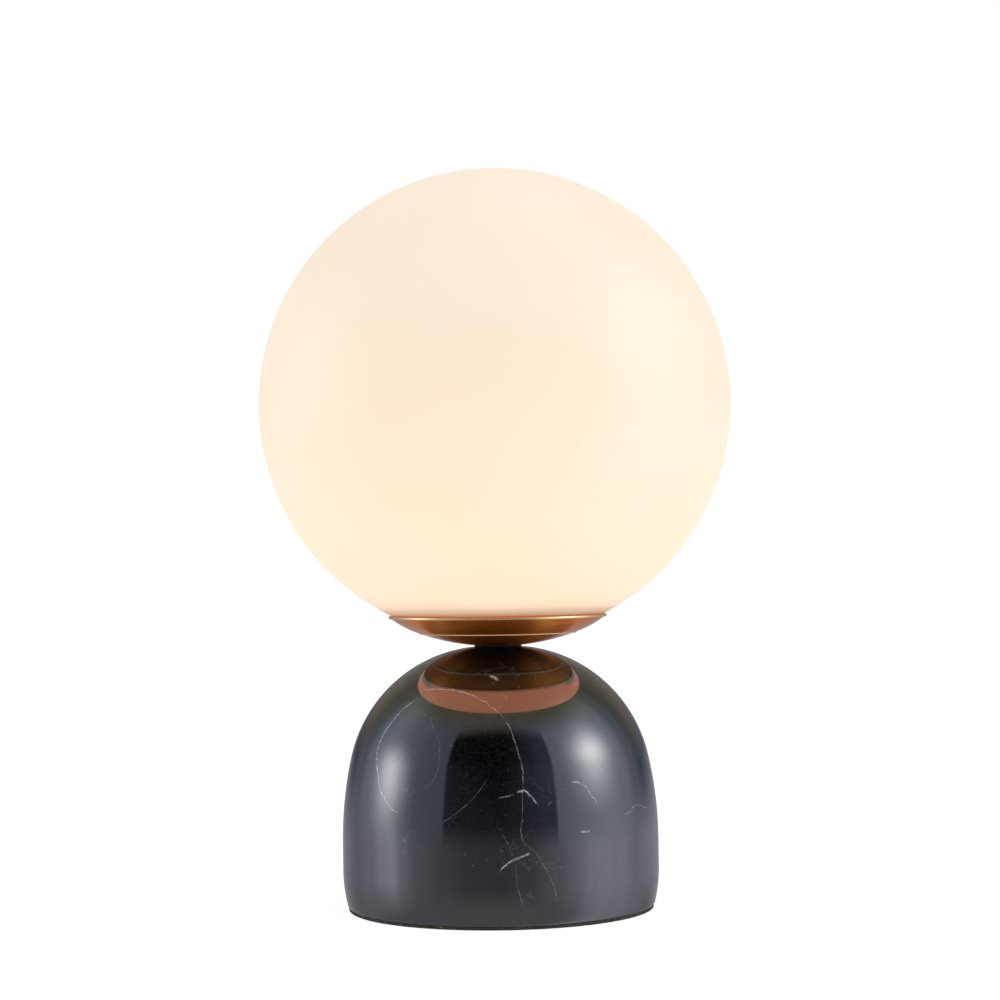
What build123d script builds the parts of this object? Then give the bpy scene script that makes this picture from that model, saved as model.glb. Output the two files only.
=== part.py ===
from build123d import *
from math import asin, cos, degrees, hypot, radians, sin, sqrt
import os

# Glass globe table lamp, in millimetres. The origin is the centre of the felt on the table,
# +Z is up, the front faces -Y and the cord outlet faces +Y.

# ------------------------------------------------------------------ driving dimensions

fit_gap = 0.03                 # radial play of pieces that fit into each other
clearance = 0.3                # air between pieces that move past each other
past = 1.0                     # how far a cutter runs past the surface it opens

# glass globe
globe_radius = 100.0
glass_wall = 3.0
globe_centre = 213.0           # height above the table
mouth_radius = 38.0
lip_round = 1.2

# marble dome, a chain of tangent arcs from the seat of the neck down to the felt
base_radius = 66.8
seat_height = 110.2
seat_radius = 10.5
shoulder_radius = 59.3
flank_radius = 158.0
flank_slope = 77.25            # degrees from level where shoulder and flank meet
foot_radius = 60.0
foot_height = 17.0
foot_break = 0.4

# chamber under the marble
recess_radius = 42.0
recess_ceiling = 29.0
rebate_radius = 54.2
bore_radius = 5.5

# felt and cover plate
felt_thickness = 1.5
felt_radius = 64.6
cover_radius = 54.0
cover_thickness = 2.0
cover_screw_circle = 48.0
cover_screw_angles = (30, 150, 270)
cover_screw_head = 2.75        # radius, with a head that sinks as deep as sink_depth
cover_screw_shank = 1.45
cover_screw_length = 7.6
sink_depth = 1.3
insert_radius = 2.5
insert_bore = 1.5
insert_length = 7.0

# cord outlet
gland_height = 14.0
gland_shank_radius = 6.0
gland_flange_radius = 8.5
gland_flange_thickness = 1.6
gland_bore_radius = 3.5
gland_seat = 65.4              # flat milled into the back of the marble
gland_tail = 37.0
gland_nose = 71.0
gland_nose_wall = 1.4
gland_chamfer = 0.4
gland_nut_flats = 17.0
gland_nut_height = 4.0
gland_nut_seat = 43.0
gland_nut_pocket_radius = 10.2
gland_bore_start = 30.0        # inside the chamber, where the cutters for the gland begin

# stem and what is clamped on it
stem_radius = 5.0
stem_bore_radius = 3.75
stem_bottom = 20.0
stem_top = 122.0
stem_hole_radius = 5.2
nut_flats = 14.0
nut_height = 3.5
base_washer_radius = 15.0
base_washer_thickness = 2.0
spacer_radius = 10.0
spacer_thickness = 0.8

# ring terminal for the earth lead
tag_thickness = 0.8
tag_radius = 8.0
tag_tail_end = 13.0
tag_tail_width = 5.0
tag_barrel_radius = 1.9
tag_barrel_length = 6.0
tag_barrel_centre = 15.0
tag_barrel_drop = 1.1

# brass dish
dish_wall = 0.9
dish_flat_radius = 11.0
dish_bulge = (23.0, 2.05)      # radius and height above the flat, halfway up the lower bowl
dish_line = (33.0, 5.05)       # where the raised line runs
dish_flare = (40.0, 8.1)
dish_edge = (45.4, 11.6)
line_bead_radius = 0.5
line_bead_sink = 0.2
rim_bead = (45.7, 12.05)
rim_bead_radius = 0.62
dish_washer_radius = 10.5
dish_washer_thickness = 1.2

# spring disc, springs and gasket
disc_radius = 28.0
disc_thickness = 1.0
disc_vent_radius = 3.0
spring_angles = (90, 210, 330)
spring_width = 8.0
spring_thickness = 0.5
spring_heel = 19.8
spring_bend = 27.0
spring_nose = (37.95, 5.3)     # corner before rounding, height above the disc
spring_tip = (31.5, 19.5)
spring_round = 2.6
rivet_circle = 23.2
rivet_radius = 1.25
rivet_head_radius = 2.0
rivet_head_height = 0.8
rivet_head_round = 0.6
gasket_inner = 38.4
gasket_outer = 42.3

# lampholder, size E27; heights are above the spring disc
holder_radius = 20.0
holder_wall = 2.0
holder_foot_radius = 11.0
holder_shoulder = 8.4
holder_split = 15.5
holder_floor = 19.9
holder_core_height = 8.0
holder_height = 55.4
holder_step = 0.2              # the cap stands this much inside the body
holder_mouth_radius = 14.5
holder_lip = 2.0
holder_rim_round = 1.0
cap_inner_step = 1.6
boss_radius = 7.5
boss_height = 5.0
wire_hole_radius = 4.4
flute_count = 24
flute_radius = 0.7
flute_margins = (6.0, 5.0)     # plain bands below and above the flutes

# screw thread of the lampholder
thread_pitch = 3.629
thread_root_width = 1.8
thread_crest_width = 0.6
thread_sink = 0.25             # how deep the ridge is let into the wall it stands on
holder_thread_wall = 13.4
holder_thread_crest = 12.5
holder_thread_outside = 14.3
holder_thread_height = 24.5
holder_thread_turns = 5.25
holder_thread_rise = 2.4
flange_inner = 7.5
flange_thickness = 0.6
flange_notch = (3.0, 12.0)
flange_notch_width = 8.0

# terminals of the lampholder
terminal_offset = 8.0
terminal_size = 6.0
terminal_height = 7.0
terminal_hole_depth = 4.5
terminal_screw_rise = 2.4
terminal_screw_radius = 1.2
post_radius = 1.4
tongue_width = 5.0
tongue_thickness = 0.5
tongue_rise = 3.4
tongue_reach = (10.0, 5.8, 2.6, -3.0)   # corners of the strip, from its foot to its tip
tongue_bend = 1.0

# LED bulb, size A60 with an E27 cap
bulb_gap = 0.3                 # between the holder's tongue and the bulb's contact
bulb_length = 108.0
bulb_radius = 30.0
contact_radius = 4.8
contact_height = 2.0
contact_round = 1.2
insulator_radius = 5.8
insulator_start = 1.2
insulator_height = 3.2
cap_core_radius = 12.2
cap_crest_radius = 13.1
cap_wall = 0.8
cap_start = 3.0
cap_height = 26.8
cap_thread_turns = 5.0
housing_overlap = 4.0          # how far the housing reaches down into the cap
housing_wall = 1.4
housing_throat = (14.4, 1.5)   # radius and height above the cap
housing_belly = (20.6, 18.0)
housing_inner_belly = (18.2, 17.0)
housing_ledge = 2.0
envelope_rise = 36.2
envelope_wall = 1.2
envelope_joint = 59.3          # height above the contact
board_radius = 24.0
board_thickness = 1.5
board_drop = 1.9
led_count = 8
led_circle = 15.0
led_size = (3.2, 2.8, 0.8)

# wiring
wire_radius = 1.0
wire_play = 0.25
wire_offset = 1.3
block_size = (17.0, 28.0, 13.0)
block_centre = (-28.5, -3.0)
block_screw_radius = 1.5
block_screw_head = 2.6
block_screw_row = 4.5          # beside the middle pole
block_well_radius = 2.2
block_well_offset = 4.2
pole_offsets = (-9.0, 0.0, 9.0)
pole_height = 5.0              # above the cover plate
pole_screw_radius = 1.1
pole_screw_head = 1.9
screw_slot_half = 0.3

# ------------------------------------------------------------------ heights that follow

cover_top = felt_thickness + cover_thickness
spacer_top = seat_height + spacer_thickness
dish_floor = spacer_top + dish_wall
dish_washer_top = dish_floor + dish_washer_thickness
disc_bottom = dish_washer_top + nut_height
disc_top = disc_bottom + disc_thickness
core_bottom = disc_top + holder_floor
core_top = core_bottom + holder_core_height
tongue_top = core_top + tongue_rise
bulb_bottom = tongue_top + bulb_gap
washer_bottom = recess_ceiling - base_washer_thickness
tag_bottom = washer_bottom - tag_thickness
tag_axis = tag_bottom - tag_barrel_drop
holder_thread_start = core_top + holder_thread_rise
cap_thread_start = holder_thread_start + 1.5 * thread_pitch
cap_neck = cap_core_radius - cap_wall - 0.1
pole_axis = cover_top + pole_height
pole_rows = [block_centre[1] + offset_y for offset_y in pole_offsets]
block_screw_place = (block_centre[0], pole_rows[1] + block_screw_row)

nodes = {}

# ------------------------------------------------------------------ helpers

upward = (Align.CENTER, Align.CENTER, Align.MIN)


def turned(outline):
    """Solid of revolution about the lamp's axis, from an outline in radius and height."""
    return revolve(Plane.XZ * outline, Axis.Z)


def disc(radius, bottom, top):
    """Cylinder on the lamp's axis between two heights."""
    return Pos(0, 0, bottom) * Cylinder(radius, top - bottom, align=upward)


def ring(outer, inner, bottom, top):
    return disc(outer, bottom, top) - disc(inner, bottom - past, top + past)


def rod(radius, length, centred=True):
    """Cylinder that lies along the X axis, centred on the origin or starting there."""
    align = (Align.CENTER, Align.CENTER, Align.CENTER) if centred else upward
    return Cylinder(radius, length, rotation=(0, 90, 0), align=align)


def block(low, high):
    """Box between two corners."""
    size = [b - a for a, b in zip(low, high)]
    return Pos(*low) * Box(*size, align=(Align.MIN, Align.MIN, Align.MIN))


def along_y(shape):
    """Turn a shape that was drawn up the Z axis so that it points out of the back."""
    return Rot(-90, 0, 0) * shape


def group(solids):
    return Compound(children=list(solids))


def hex_nut(flats, bore, bottom, height):
    corner = flats / 2 / cos(radians(30))
    prism = Pos(0, 0, bottom) * extrude(RegularPolygon(flats / 2, 6, major_radius=False), height)
    limit = disc(corner, bottom, bottom + height)
    limit = chamfer(limit.edges().filter_by(GeomType.CIRCLE), corner / 10)
    return (prism & limit) - disc(bore, bottom - past, bottom + height + past)


def cross_slots(width, depth):
    """Cross for a screwdriver, cut down from z = 0."""
    arm = block((-width / 2, -width / 7, -depth), (width / 2, width / 7, past))
    return arm + Rot(0, 0, 90) * arm


def countersunk_screw(head_radius, head_depth, shank_radius, length):
    """Screw with its head up, level with z = 0."""
    head = Pos(0, 0, -head_depth) * Cone(shank_radius, head_radius, head_depth, align=upward)
    shank = disc(shank_radius, -length, -head_depth)
    return head + shank - cross_slots(1.1 * head_radius, 0.6 * head_depth)


def circle_through(a, b, c):
    """Centre and radius of the circle through three points."""
    ax, ay, bx, by, cx, cy = *a, *b, *c
    d = 2 * (ax * (by - cy) + bx * (cy - ay) + cx * (ay - by))
    a2, b2, c2 = ax * ax + ay * ay, bx * bx + by * by, cx * cx + cy * cy
    x = (a2 * (by - cy) + b2 * (cy - ay) + c2 * (ay - by)) / d
    y = (a2 * (cx - bx) + b2 * (ax - cx) + c2 * (bx - ax)) / d
    return (x, y), hypot(ax - x, ay - y)


def inside_arc(points, wall):
    """The three points of an arc, moved towards its centre by the thickness of a wall."""
    centre, radius = circle_through(*points)
    share = wall / radius
    return [(x + share * (centre[0] - x), y + share * (centre[1] - y)) for x, y in points]


def point_at_slope(centre, radius, slope):
    """Point of a circle, outside its centre, where its surface falls at the given angle."""
    return (centre[0] + radius * sin(radians(slope)), centre[1] + radius * cos(radians(slope)))


def slope_arc(centre, radius, start, end):
    """Arc of a falling surface between two slopes, in degrees from level."""
    slopes = (start, (start + end) / 2, end)
    return ThreePointArc(*[point_at_slope(centre, radius, slope) for slope in slopes])


# ------------------------------------------------------------------ marble base and what closes it


def marble_dome():
    """Outer form of the base, still solid."""
    flank_rise = (flank_radius - shoulder_radius) * cos(radians(flank_slope))
    flank_step = (flank_radius - shoulder_radius) * sin(radians(flank_slope))
    shoulder_offset = base_radius - flank_radius + flank_step
    crown_slope = degrees(asin((seat_radius - shoulder_offset) / shoulder_radius))
    shoulder_centre = (shoulder_offset, seat_height - shoulder_radius * cos(radians(crown_slope)))
    flank_centre = (base_radius - flank_radius, shoulder_centre[1] - flank_rise)
    foot_centre = (base_radius - foot_radius, foot_height)
    foot_end_slope = 90 + degrees(asin((foot_height - felt_thickness - foot_break) / foot_radius))
    shoulder = slope_arc(shoulder_centre, shoulder_radius, crown_slope, flank_slope)
    flank = slope_arc(flank_centre, flank_radius, flank_slope, 90)
    foot = slope_arc(foot_centre, foot_radius, 90, foot_end_slope)
    foot_end = foot @ 1
    break_end = (foot_end.X - foot_break, felt_thickness)
    sides = [
        Line((0, seat_height), shoulder @ 0),
        shoulder,
        flank,
        Line(flank @ 1, foot @ 0),
        foot,
        Line(foot_end, break_end),
        Line(break_end, (0, felt_thickness)),
        Line((0, felt_thickness), (0, seat_height)),
    ]
    return turned(make_face(sides))


def on_screw_circle(shape):
    return [Rot(0, 0, angle) * Pos(cover_screw_circle, 0, 0) * shape for angle in cover_screw_angles]


def marble_base():
    insert_hole = disc(insert_radius, 0, cover_top + insert_length + past / 2)
    passage = disc(gland_shank_radius + 0.1, gland_bore_start, gland_nose + past)
    back_flat = disc(gland_flange_radius + 0.5, gland_seat, gland_nose + past)
    nut_pocket = disc(gland_nut_pocket_radius, gland_bore_start, gland_nut_seat)
    base = marble_dome()
    base -= disc(rebate_radius, 0, cover_top)
    base -= disc(recess_radius, 0, recess_ceiling)
    base -= disc(bore_radius, 0, seat_height + past)
    base -= on_screw_circle(insert_hole)
    base -= Pos(0, 0, gland_height) * along_y(passage + back_flat + nut_pocket)
    return base


def cover_plate():
    hole = cover_screw_shank + 0.15
    sink = Cone(cover_screw_head + 0.15, hole, sink_depth, align=upward)
    sink += disc(hole, -past, cover_thickness + past)
    plate = disc(cover_radius, felt_thickness, cover_top)
    plate -= on_screw_circle(Pos(0, 0, felt_thickness) * sink)
    plate -= Pos(*block_screw_place, 0) * disc(block_screw_radius + fit_gap, 0, cover_top + past)
    return plate


def cover_screw():
    screw = countersunk_screw(cover_screw_head, sink_depth, cover_screw_shank, cover_screw_length)
    return Pos(0, 0, felt_thickness) * Rot(180, 0, 0) * screw


nodes["felt_pad"] = disc(felt_radius, 0, felt_thickness)
nodes["marble_base"] = marble_base()
nodes["cover_plate"] = cover_plate()
nodes["cover_screws"] = group(on_screw_circle(cover_screw()))
nodes["cover_inserts"] = group(
    on_screw_circle(ring(insert_radius - fit_gap, insert_bore, cover_top, cover_top + insert_length))
)

# ------------------------------------------------------------------ cord outlet


def cable_gland():
    """Bushing with a flange outside and a shallow cone towards its nose."""
    rim = gland_chamfer
    flange_top = gland_seat + gland_flange_thickness
    nose_radius = gland_bore_radius + gland_nose_wall
    outline = Polyline(
        (gland_bore_radius, gland_tail + rim),
        (gland_bore_radius + rim, gland_tail),
        (gland_shank_radius - rim, gland_tail),
        (gland_shank_radius, gland_tail + rim),
        (gland_shank_radius, gland_seat),
        (gland_flange_radius, gland_seat),
        (gland_flange_radius, flange_top),
        (gland_flange_radius - rim, flange_top + rim),
        (nose_radius + rim, gland_nose - rim),
        (nose_radius, gland_nose),
        (gland_bore_radius + rim, gland_nose),
        (gland_bore_radius, gland_nose - rim),
        close=True,
    )
    return Pos(0, 0, gland_height) * along_y(turned(make_face(outline)))


def gland_nut():
    bottom = gland_nut_seat - gland_nut_height
    nut = hex_nut(gland_nut_flats, gland_shank_radius + fit_gap, bottom, gland_nut_height)
    return Pos(0, 0, gland_height) * along_y(nut)


nodes["cable_gland"] = cable_gland()
nodes["gland_nut"] = gland_nut()

# ------------------------------------------------------------------ stem and its stack


def earth_tag():
    """Flat ring on the stem with a tail and a crimped barrel."""
    half = tag_tail_width / 2
    tail = block((tag_radius - past, -half, tag_bottom), (tag_tail_end, half, washer_bottom))
    barrel = rod(tag_barrel_radius, tag_barrel_length)
    barrel -= rod(wire_radius + fit_gap, tag_barrel_length + 2 * past)
    tag = ring(tag_radius, stem_hole_radius, tag_bottom, washer_bottom) + tail
    return tag + Pos(tag_barrel_centre, 0, tag_axis) * barrel


nodes["stem_tube"] = ring(stem_radius, stem_bore_radius, stem_bottom, stem_top)
nodes["base_washer"] = ring(base_washer_radius, stem_hole_radius, washer_bottom, recess_ceiling)
nodes["earth_tag"] = earth_tag()
nodes["base_nut"] = hex_nut(nut_flats, stem_radius + fit_gap, tag_bottom - nut_height, nut_height)
nodes["neck_spacer"] = ring(spacer_radius, stem_hole_radius, seat_height, spacer_top)
nodes["dish_washer"] = ring(dish_washer_radius, stem_hole_radius, dish_floor, dish_washer_top)
nodes["dish_nut"] = hex_nut(nut_flats, stem_radius + fit_gap, dish_washer_top, nut_height)

# ------------------------------------------------------------------ brass dish


def above_dish_flat(point):
    return (point[0], spacer_top + point[1])


def brass_dish():
    """Spun bowl with a fine raised line and a rolled rim."""
    flat_end = (dish_flat_radius, spacer_top)
    lower = [flat_end, above_dish_flat(dish_bulge), above_dish_flat(dish_line)]
    upper = [above_dish_flat(point) for point in (dish_line, dish_flare, dish_edge)]
    lower_inside = inside_arc(lower, dish_wall)
    upper_inside = inside_arc(upper, dish_wall)
    outline = [
        Line((stem_hole_radius, spacer_top), flat_end),
        ThreePointArc(*lower),
        ThreePointArc(*upper),
        Line(upper[-1], upper_inside[-1]),
        ThreePointArc(*reversed(upper_inside)),
        Line(upper_inside[0], lower_inside[-1]),
        ThreePointArc(*reversed(lower_inside)),
        Line(lower_inside[0], (stem_hole_radius, dish_floor)),
        Line((stem_hole_radius, dish_floor), (stem_hole_radius, spacer_top)),
    ]
    wall = make_face(outline)
    wall += Pos(dish_line[0], upper[0][1] + line_bead_sink) * Circle(line_bead_radius)
    wall += Pos(*above_dish_flat(rim_bead)) * Circle(rim_bead_radius)
    return turned(wall)


def glass_gasket():
    """Silicone ring that fills the space between the dish and the underside of the glass."""
    upper_bowl = [above_dish_flat(point) for point in (dish_line, dish_flare, dish_edge)]
    bowl_centre, bowl_radius = circle_through(*upper_bowl)
    inside_radius = bowl_radius - dish_wall
    glass_side = globe_radius + 0.8 * clearance

    def on_dish(radius):
        return (radius, bowl_centre[1] - sqrt(inside_radius**2 - (radius - bowl_centre[0]) ** 2))

    def under_glass(radius):
        return (radius, globe_centre - sqrt(glass_side**2 - radius**2))

    middle = (gasket_inner + gasket_outer) / 2
    outline = [
        ThreePointArc(on_dish(gasket_inner), on_dish(middle), on_dish(gasket_outer)),
        Line(on_dish(gasket_outer), under_glass(gasket_outer)),
        ThreePointArc(under_glass(gasket_outer), under_glass(middle), under_glass(gasket_inner)),
        Line(under_glass(gasket_inner), on_dish(gasket_inner)),
    ]
    return turned(make_face(outline))


nodes["dish"] = brass_dish()
nodes["glass_gasket"] = glass_gasket()

# ------------------------------------------------------------------ spring disc and glass springs


def above_disc(point):
    return (point[0], disc_top + point[1])


def leaf_spring():
    """Strip that stands out under the lip of the glass and leans back to let it pass."""
    middle_line = FilletPolyline(
        above_disc((spring_heel, spring_thickness / 2)),
        above_disc((spring_bend, spring_thickness / 2)),
        above_disc(spring_nose),
        above_disc(spring_tip),
        radius=(spring_round / 2, spring_round),
    )
    spring = extrude(Plane.XZ * trace(middle_line, spring_thickness), spring_width / 2, both=True)
    return spring - Pos(rivet_circle, 0, 0) * disc(rivet_radius, disc_top - past, disc_top + past)


def rivet():
    top = disc_top + spring_thickness
    shank = disc(rivet_radius - fit_gap, disc_bottom - 0.1, top + 0.1)
    upper_head = disc(rivet_head_radius, top, top + rivet_head_height)
    upper_head = fillet(upper_head.edges().group_by(Axis.Z)[-1], rivet_head_round)
    lower_head = disc(rivet_head_radius, disc_bottom - rivet_head_height, disc_bottom)
    return shank + upper_head + lower_head


def at_springs(shape, radius=0.0, turn=0.0):
    return [Rot(0, 0, angle + turn) * Pos(radius, 0, 0) * shape for angle in spring_angles]


def gallery_disc():
    """Disc with a rivet hole under each spring and a vent between them."""
    rivet_hole = disc(rivet_radius, disc_bottom - past, disc_top + past)
    vent = disc(disc_vent_radius, disc_bottom - past, disc_top + past)
    plate = ring(disc_radius, stem_hole_radius, disc_bottom, disc_top)
    return plate - at_springs(rivet_hole, rivet_circle) - at_springs(vent, rivet_circle, turn=60)


nodes["gallery_disc"] = gallery_disc()
nodes["glass_springs"] = group(at_springs(leaf_spring()))
nodes["spring_rivets"] = group(at_springs(rivet(), rivet_circle))

# ------------------------------------------------------------------ glass globe


def glass_globe():
    globe = Pos(0, 0, globe_centre) * (Sphere(globe_radius) - Sphere(globe_radius - glass_wall))
    globe -= disc(mouth_radius, globe_centre - globe_radius - past, globe_centre)
    circles = globe.edges().filter_by(GeomType.CIRCLE)
    lip = circles.filter_by(lambda edge: abs(edge.radius - mouth_radius) < fit_gap)
    return fillet(lip, lip_round)


nodes["glass_globe"] = glass_globe()

# ------------------------------------------------------------------ lampholder


def helical_ridge(root_radius, crest_radius, start, turns):
    """Screw thread as one ridge along a helix, from its root to its crest."""
    sink = thread_sink if crest_radius > root_radius else -thread_sink
    path = Helix(thread_pitch, turns * thread_pitch, root_radius, center=(0, 0, start))
    profile = Polyline(
        (-sink, -thread_root_width / 2),
        (-sink, thread_root_width / 2),
        (crest_radius - root_radius, thread_crest_width / 2),
        (crest_radius - root_radius, -thread_crest_width / 2),
        close=True,
    )
    section = Plane(origin=path @ 0, x_dir=(1, 0, 0), z_dir=path % 0) * make_face(profile)
    return sweep(section, path=path, is_frenet=True)


def holder_cap():
    """Lower half of the lampholder, with the threaded boss that screws on the stem."""
    shoulder = disc_top + holder_shoulder
    split = disc_top + holder_split
    outer = holder_radius - holder_step
    inner = outer - holder_wall - cap_inner_step
    collar = holder_radius - holder_wall - 0.05
    outside = Polyline(
        (0, disc_top),
        (holder_foot_radius, disc_top),
        (outer, shoulder),
        (outer, split),
        (0, split),
        close=True,
    )
    inside = Polyline(
        (0, disc_top + holder_wall),
        (holder_foot_radius - past, disc_top + holder_wall),
        (inner, shoulder),
        (inner, core_bottom + past),
        (0, core_bottom + past),
        close=True,
    )
    cap = turned(make_face(outside)) + disc(collar, split, core_bottom)
    cap -= turned(make_face(inside))
    cap += disc(boss_radius, disc_top, disc_top + boss_height)
    cap -= disc(stem_radius + fit_gap, disc_top - past, stem_top)
    return cap - disc(wire_hole_radius, stem_top - past, disc_top + boss_height + past)


def holder_body():
    """Upper half, with grip flutes and an inward lip around the mouth."""
    bottom = disc_top + holder_split + 0.1
    top = disc_top + holder_height
    body = ring(holder_radius, holder_radius - holder_wall, bottom, top)
    body += ring(holder_radius - holder_wall / 2, holder_mouth_radius, top - holder_lip, top)
    body = fillet(body.edges().group_by(Axis.Z)[-1].sort_by(SortBy.RADIUS)[-1], holder_rim_round)
    flute = disc(flute_radius, bottom + flute_margins[0], top - flute_margins[1])
    flute = Pos(holder_radius + holder_step, 0, 0) * flute
    return body - [Rot(0, 0, 360 * k / flute_count) * flute for k in range(flute_count)]


def holder_core():
    core = disc(holder_radius - holder_wall - 0.4, core_bottom, core_top)
    post_hole = disc(post_radius + fit_gap, core_bottom - past, core_top + past)
    return core - [Pos(side * terminal_offset, 0, 0) * post_hole for side in (-1, 1)]


def holder_thread():
    """Brass shell with the female screw thread, and a notched flange at the bottom."""
    half_notch = flange_notch_width / 2
    notch = block((flange_notch[0], -half_notch, core_top - past), (flange_notch[1], half_notch, core_top + past))
    shell = ring(holder_thread_outside, holder_thread_wall, core_top, core_top + holder_thread_height)
    flange = ring(holder_thread_wall + 0.2, flange_inner, core_top, core_top + flange_thickness) - notch
    ridge = helical_ridge(holder_thread_wall, holder_thread_crest, holder_thread_start, holder_thread_turns)
    return shell + flange + ridge


def terminal():
    """Clamp body under the core with a post through it, drawn at x = 0."""
    half = terminal_size / 2
    bottom = core_bottom - terminal_height
    body = block((-half, -half, bottom), (half, half, core_bottom))
    body -= disc(wire_radius + wire_play, bottom - past, bottom + terminal_hole_depth)
    tapped = rod(terminal_screw_radius, half + past, centred=False)
    body -= Pos(0, 0, bottom + terminal_screw_rise) * tapped
    return body + disc(post_radius, core_bottom, core_top)


def contact_tongue():
    """Sprung strip from the post to the middle of the socket."""
    low = core_top + tongue_thickness / 2
    high = tongue_top - tongue_thickness / 2
    corners = zip(tongue_reach, (low, low, high, high))
    middle_line = FilletPolyline(*corners, radius=tongue_bend)
    return extrude(Plane.XZ * trace(middle_line, tongue_thickness), tongue_width / 2, both=True)


def terminal_screw():
    """Clamp screw on the outer side of a terminal, drawn at x = 0 and pointing in."""
    half = terminal_size / 2
    start = wire_radius + 0.2
    head_radius = 2.0
    head_height = 1.4
    slot_depth = 0.6
    shank = Pos(start, 0, 0) * rod(terminal_screw_radius - fit_gap, half - start + 0.1, centred=False)
    head = Pos(half, 0, 0) * rod(head_radius, head_height, centred=False)
    slot = block(
        (half + head_height - slot_depth, -head_radius - past, -screw_slot_half),
        (half + head_height + past, head_radius + past, screw_slot_half),
    )
    return Pos(0, 0, core_bottom - terminal_height + terminal_screw_rise) * (shank + head - slot)


nodes["holder_cap"] = holder_cap()
nodes["holder_body"] = holder_body()
nodes["holder_core"] = holder_core()
nodes["holder_thread"] = holder_thread()
nodes["centre_terminal"] = Pos(terminal_offset, 0, 0) * terminal() + contact_tongue()
nodes["shell_terminal"] = Pos(-terminal_offset, 0, 0) * Rot(0, 0, 180) * terminal()
nodes["terminal_screws"] = group(
    [Rot(0, 0, angle) * Pos(terminal_offset, 0, 0) * terminal_screw() for angle in (0, 180)]
)

# ------------------------------------------------------------------ LED bulb

cap_bottom = bulb_bottom + cap_start
cap_top = bulb_bottom + cap_height
envelope_bottom = bulb_bottom + envelope_joint
envelope_centre = bulb_bottom + bulb_length - envelope_rise
board_bottom = envelope_bottom - board_drop
board_top = board_bottom + board_thickness


def bulb_contact():
    contact = disc(contact_radius, bulb_bottom, bulb_bottom + contact_height)
    return fillet(contact.edges().group_by(Axis.Z)[0], contact_round)


def bulb_insulator():
    cone = Cone(insulator_radius, cap_neck, insulator_height, align=upward)
    cone = Pos(0, 0, bulb_bottom + insulator_start) * cone
    return cone - disc(contact_radius + fit_gap, bulb_bottom, bulb_bottom + contact_height)


def bulb_cap():
    shell = ring(cap_core_radius, cap_core_radius - cap_wall, cap_bottom, cap_top)
    return shell + helical_ridge(cap_core_radius, cap_crest_radius, cap_thread_start, cap_thread_turns)


def above_cap(point):
    return (point[0], cap_top + point[1])


def bulb_housing():
    """White plastic body that widens from the cap to the light cover."""
    wide = bulb_radius * sqrt(1 - ((envelope_bottom - envelope_centre) / envelope_rise) ** 2)
    tail = cap_neck - housing_wall
    throat = above_cap(housing_throat)
    edge = (wide, envelope_bottom)
    ledge = (wide - housing_ledge, envelope_bottom)
    ledge_foot = (ledge[0] - housing_wall, board_bottom)
    inner_throat = (tail, throat[1])
    sides = [
        Line((cap_neck, cap_top - housing_overlap), (cap_neck, cap_top)),
        Line((cap_neck, cap_top), (throat[0], cap_top)),
        Line((throat[0], cap_top), throat),
        ThreePointArc(throat, above_cap(housing_belly), edge),
        Line(edge, ledge),
        Line(ledge, ledge_foot),
        ThreePointArc(ledge_foot, above_cap(housing_inner_belly), inner_throat),
        Line(inner_throat, (tail, cap_top - housing_overlap)),
        Line((tail, cap_top - housing_overlap), (cap_neck, cap_top - housing_overlap)),
    ]
    return turned(make_face(sides))


def bulb_envelope():
    """Milky cover, half of a thin egg."""
    middle = Pos(0, envelope_centre)
    thin = middle * Ellipse(bulb_radius, envelope_rise)
    thin -= middle * Ellipse(bulb_radius - envelope_wall, envelope_rise - envelope_wall)
    upper_half = Rectangle(bulb_radius + past, 2 * envelope_rise, align=(Align.MIN, Align.MIN))
    return turned(thin & Pos(0, envelope_bottom + 0.02) * upper_half)


def bulb_driver():
    """Circuit board on edge, with a capacitor and a coil."""
    low = cap_top - 2
    board = block((-0.8, -7.5, low), (0.8, 7.5, low + 24))
    capacitor = Pos(4.8, 0, low + 7) * Cylinder(4.1, 12)
    coil = block((-7.4, -3.5, low + 9), (-0.7, 3.5, low + 18))
    return board + capacitor + coil


def bulb_leds():
    chip = Pos(led_circle, 0, board_top) * Box(*led_size, align=upward)
    return [Rot(0, 0, 360 * k / led_count) * chip for k in range(led_count)]


nodes["bulb_contact"] = bulb_contact()
nodes["bulb_insulator"] = bulb_insulator()
nodes["bulb_cap"] = bulb_cap()
nodes["bulb_driver"] = bulb_driver()
nodes["bulb_housing"] = bulb_housing()
nodes["bulb_board"] = disc(board_radius, board_bottom, board_top)
nodes["bulb_leds"] = group(bulb_leds())
nodes["bulb_envelope"] = bulb_envelope()

# ------------------------------------------------------------------ terminal block and leads


def at_poles(shape, shifts=(0.0,)):
    places = [(block_centre[0] + shift, row, pole_axis) for row in pole_rows for shift in shifts]
    return [Pos(*place) * shape for place in places]


def terminal_block():
    length, width, height = block_size
    low = (block_centre[0] - length / 2, block_centre[1] - width / 2, cover_top)
    top = cover_top + height
    well = Cylinder(block_well_radius, height, align=upward)
    fixing = disc(block_screw_radius + 0.1, 0, top + past)
    fixing += disc(block_screw_head + 0.1, top - block_well_radius, top + past)
    body = block(low, (low[0] + length, low[1] + width, top))
    body -= at_poles(rod(block_well_radius + 0.05, length + 2 * past))
    body -= at_poles(well, (-block_well_offset, block_well_offset))
    return body - Pos(*block_screw_place, 0) * fixing


def pole_clamp():
    """Brass tube with two tapped holes for the clamp screws, drawn at the origin."""
    tube = rod(block_well_radius, block_size[0] - past)
    tube -= rod(wire_radius + wire_play, block_size[0] + past)
    tapped = disc(pole_screw_radius, 0, block_well_radius + past)
    return tube - [Pos(side * block_well_offset, 0, 0) * tapped for side in (-1, 1)]


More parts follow.
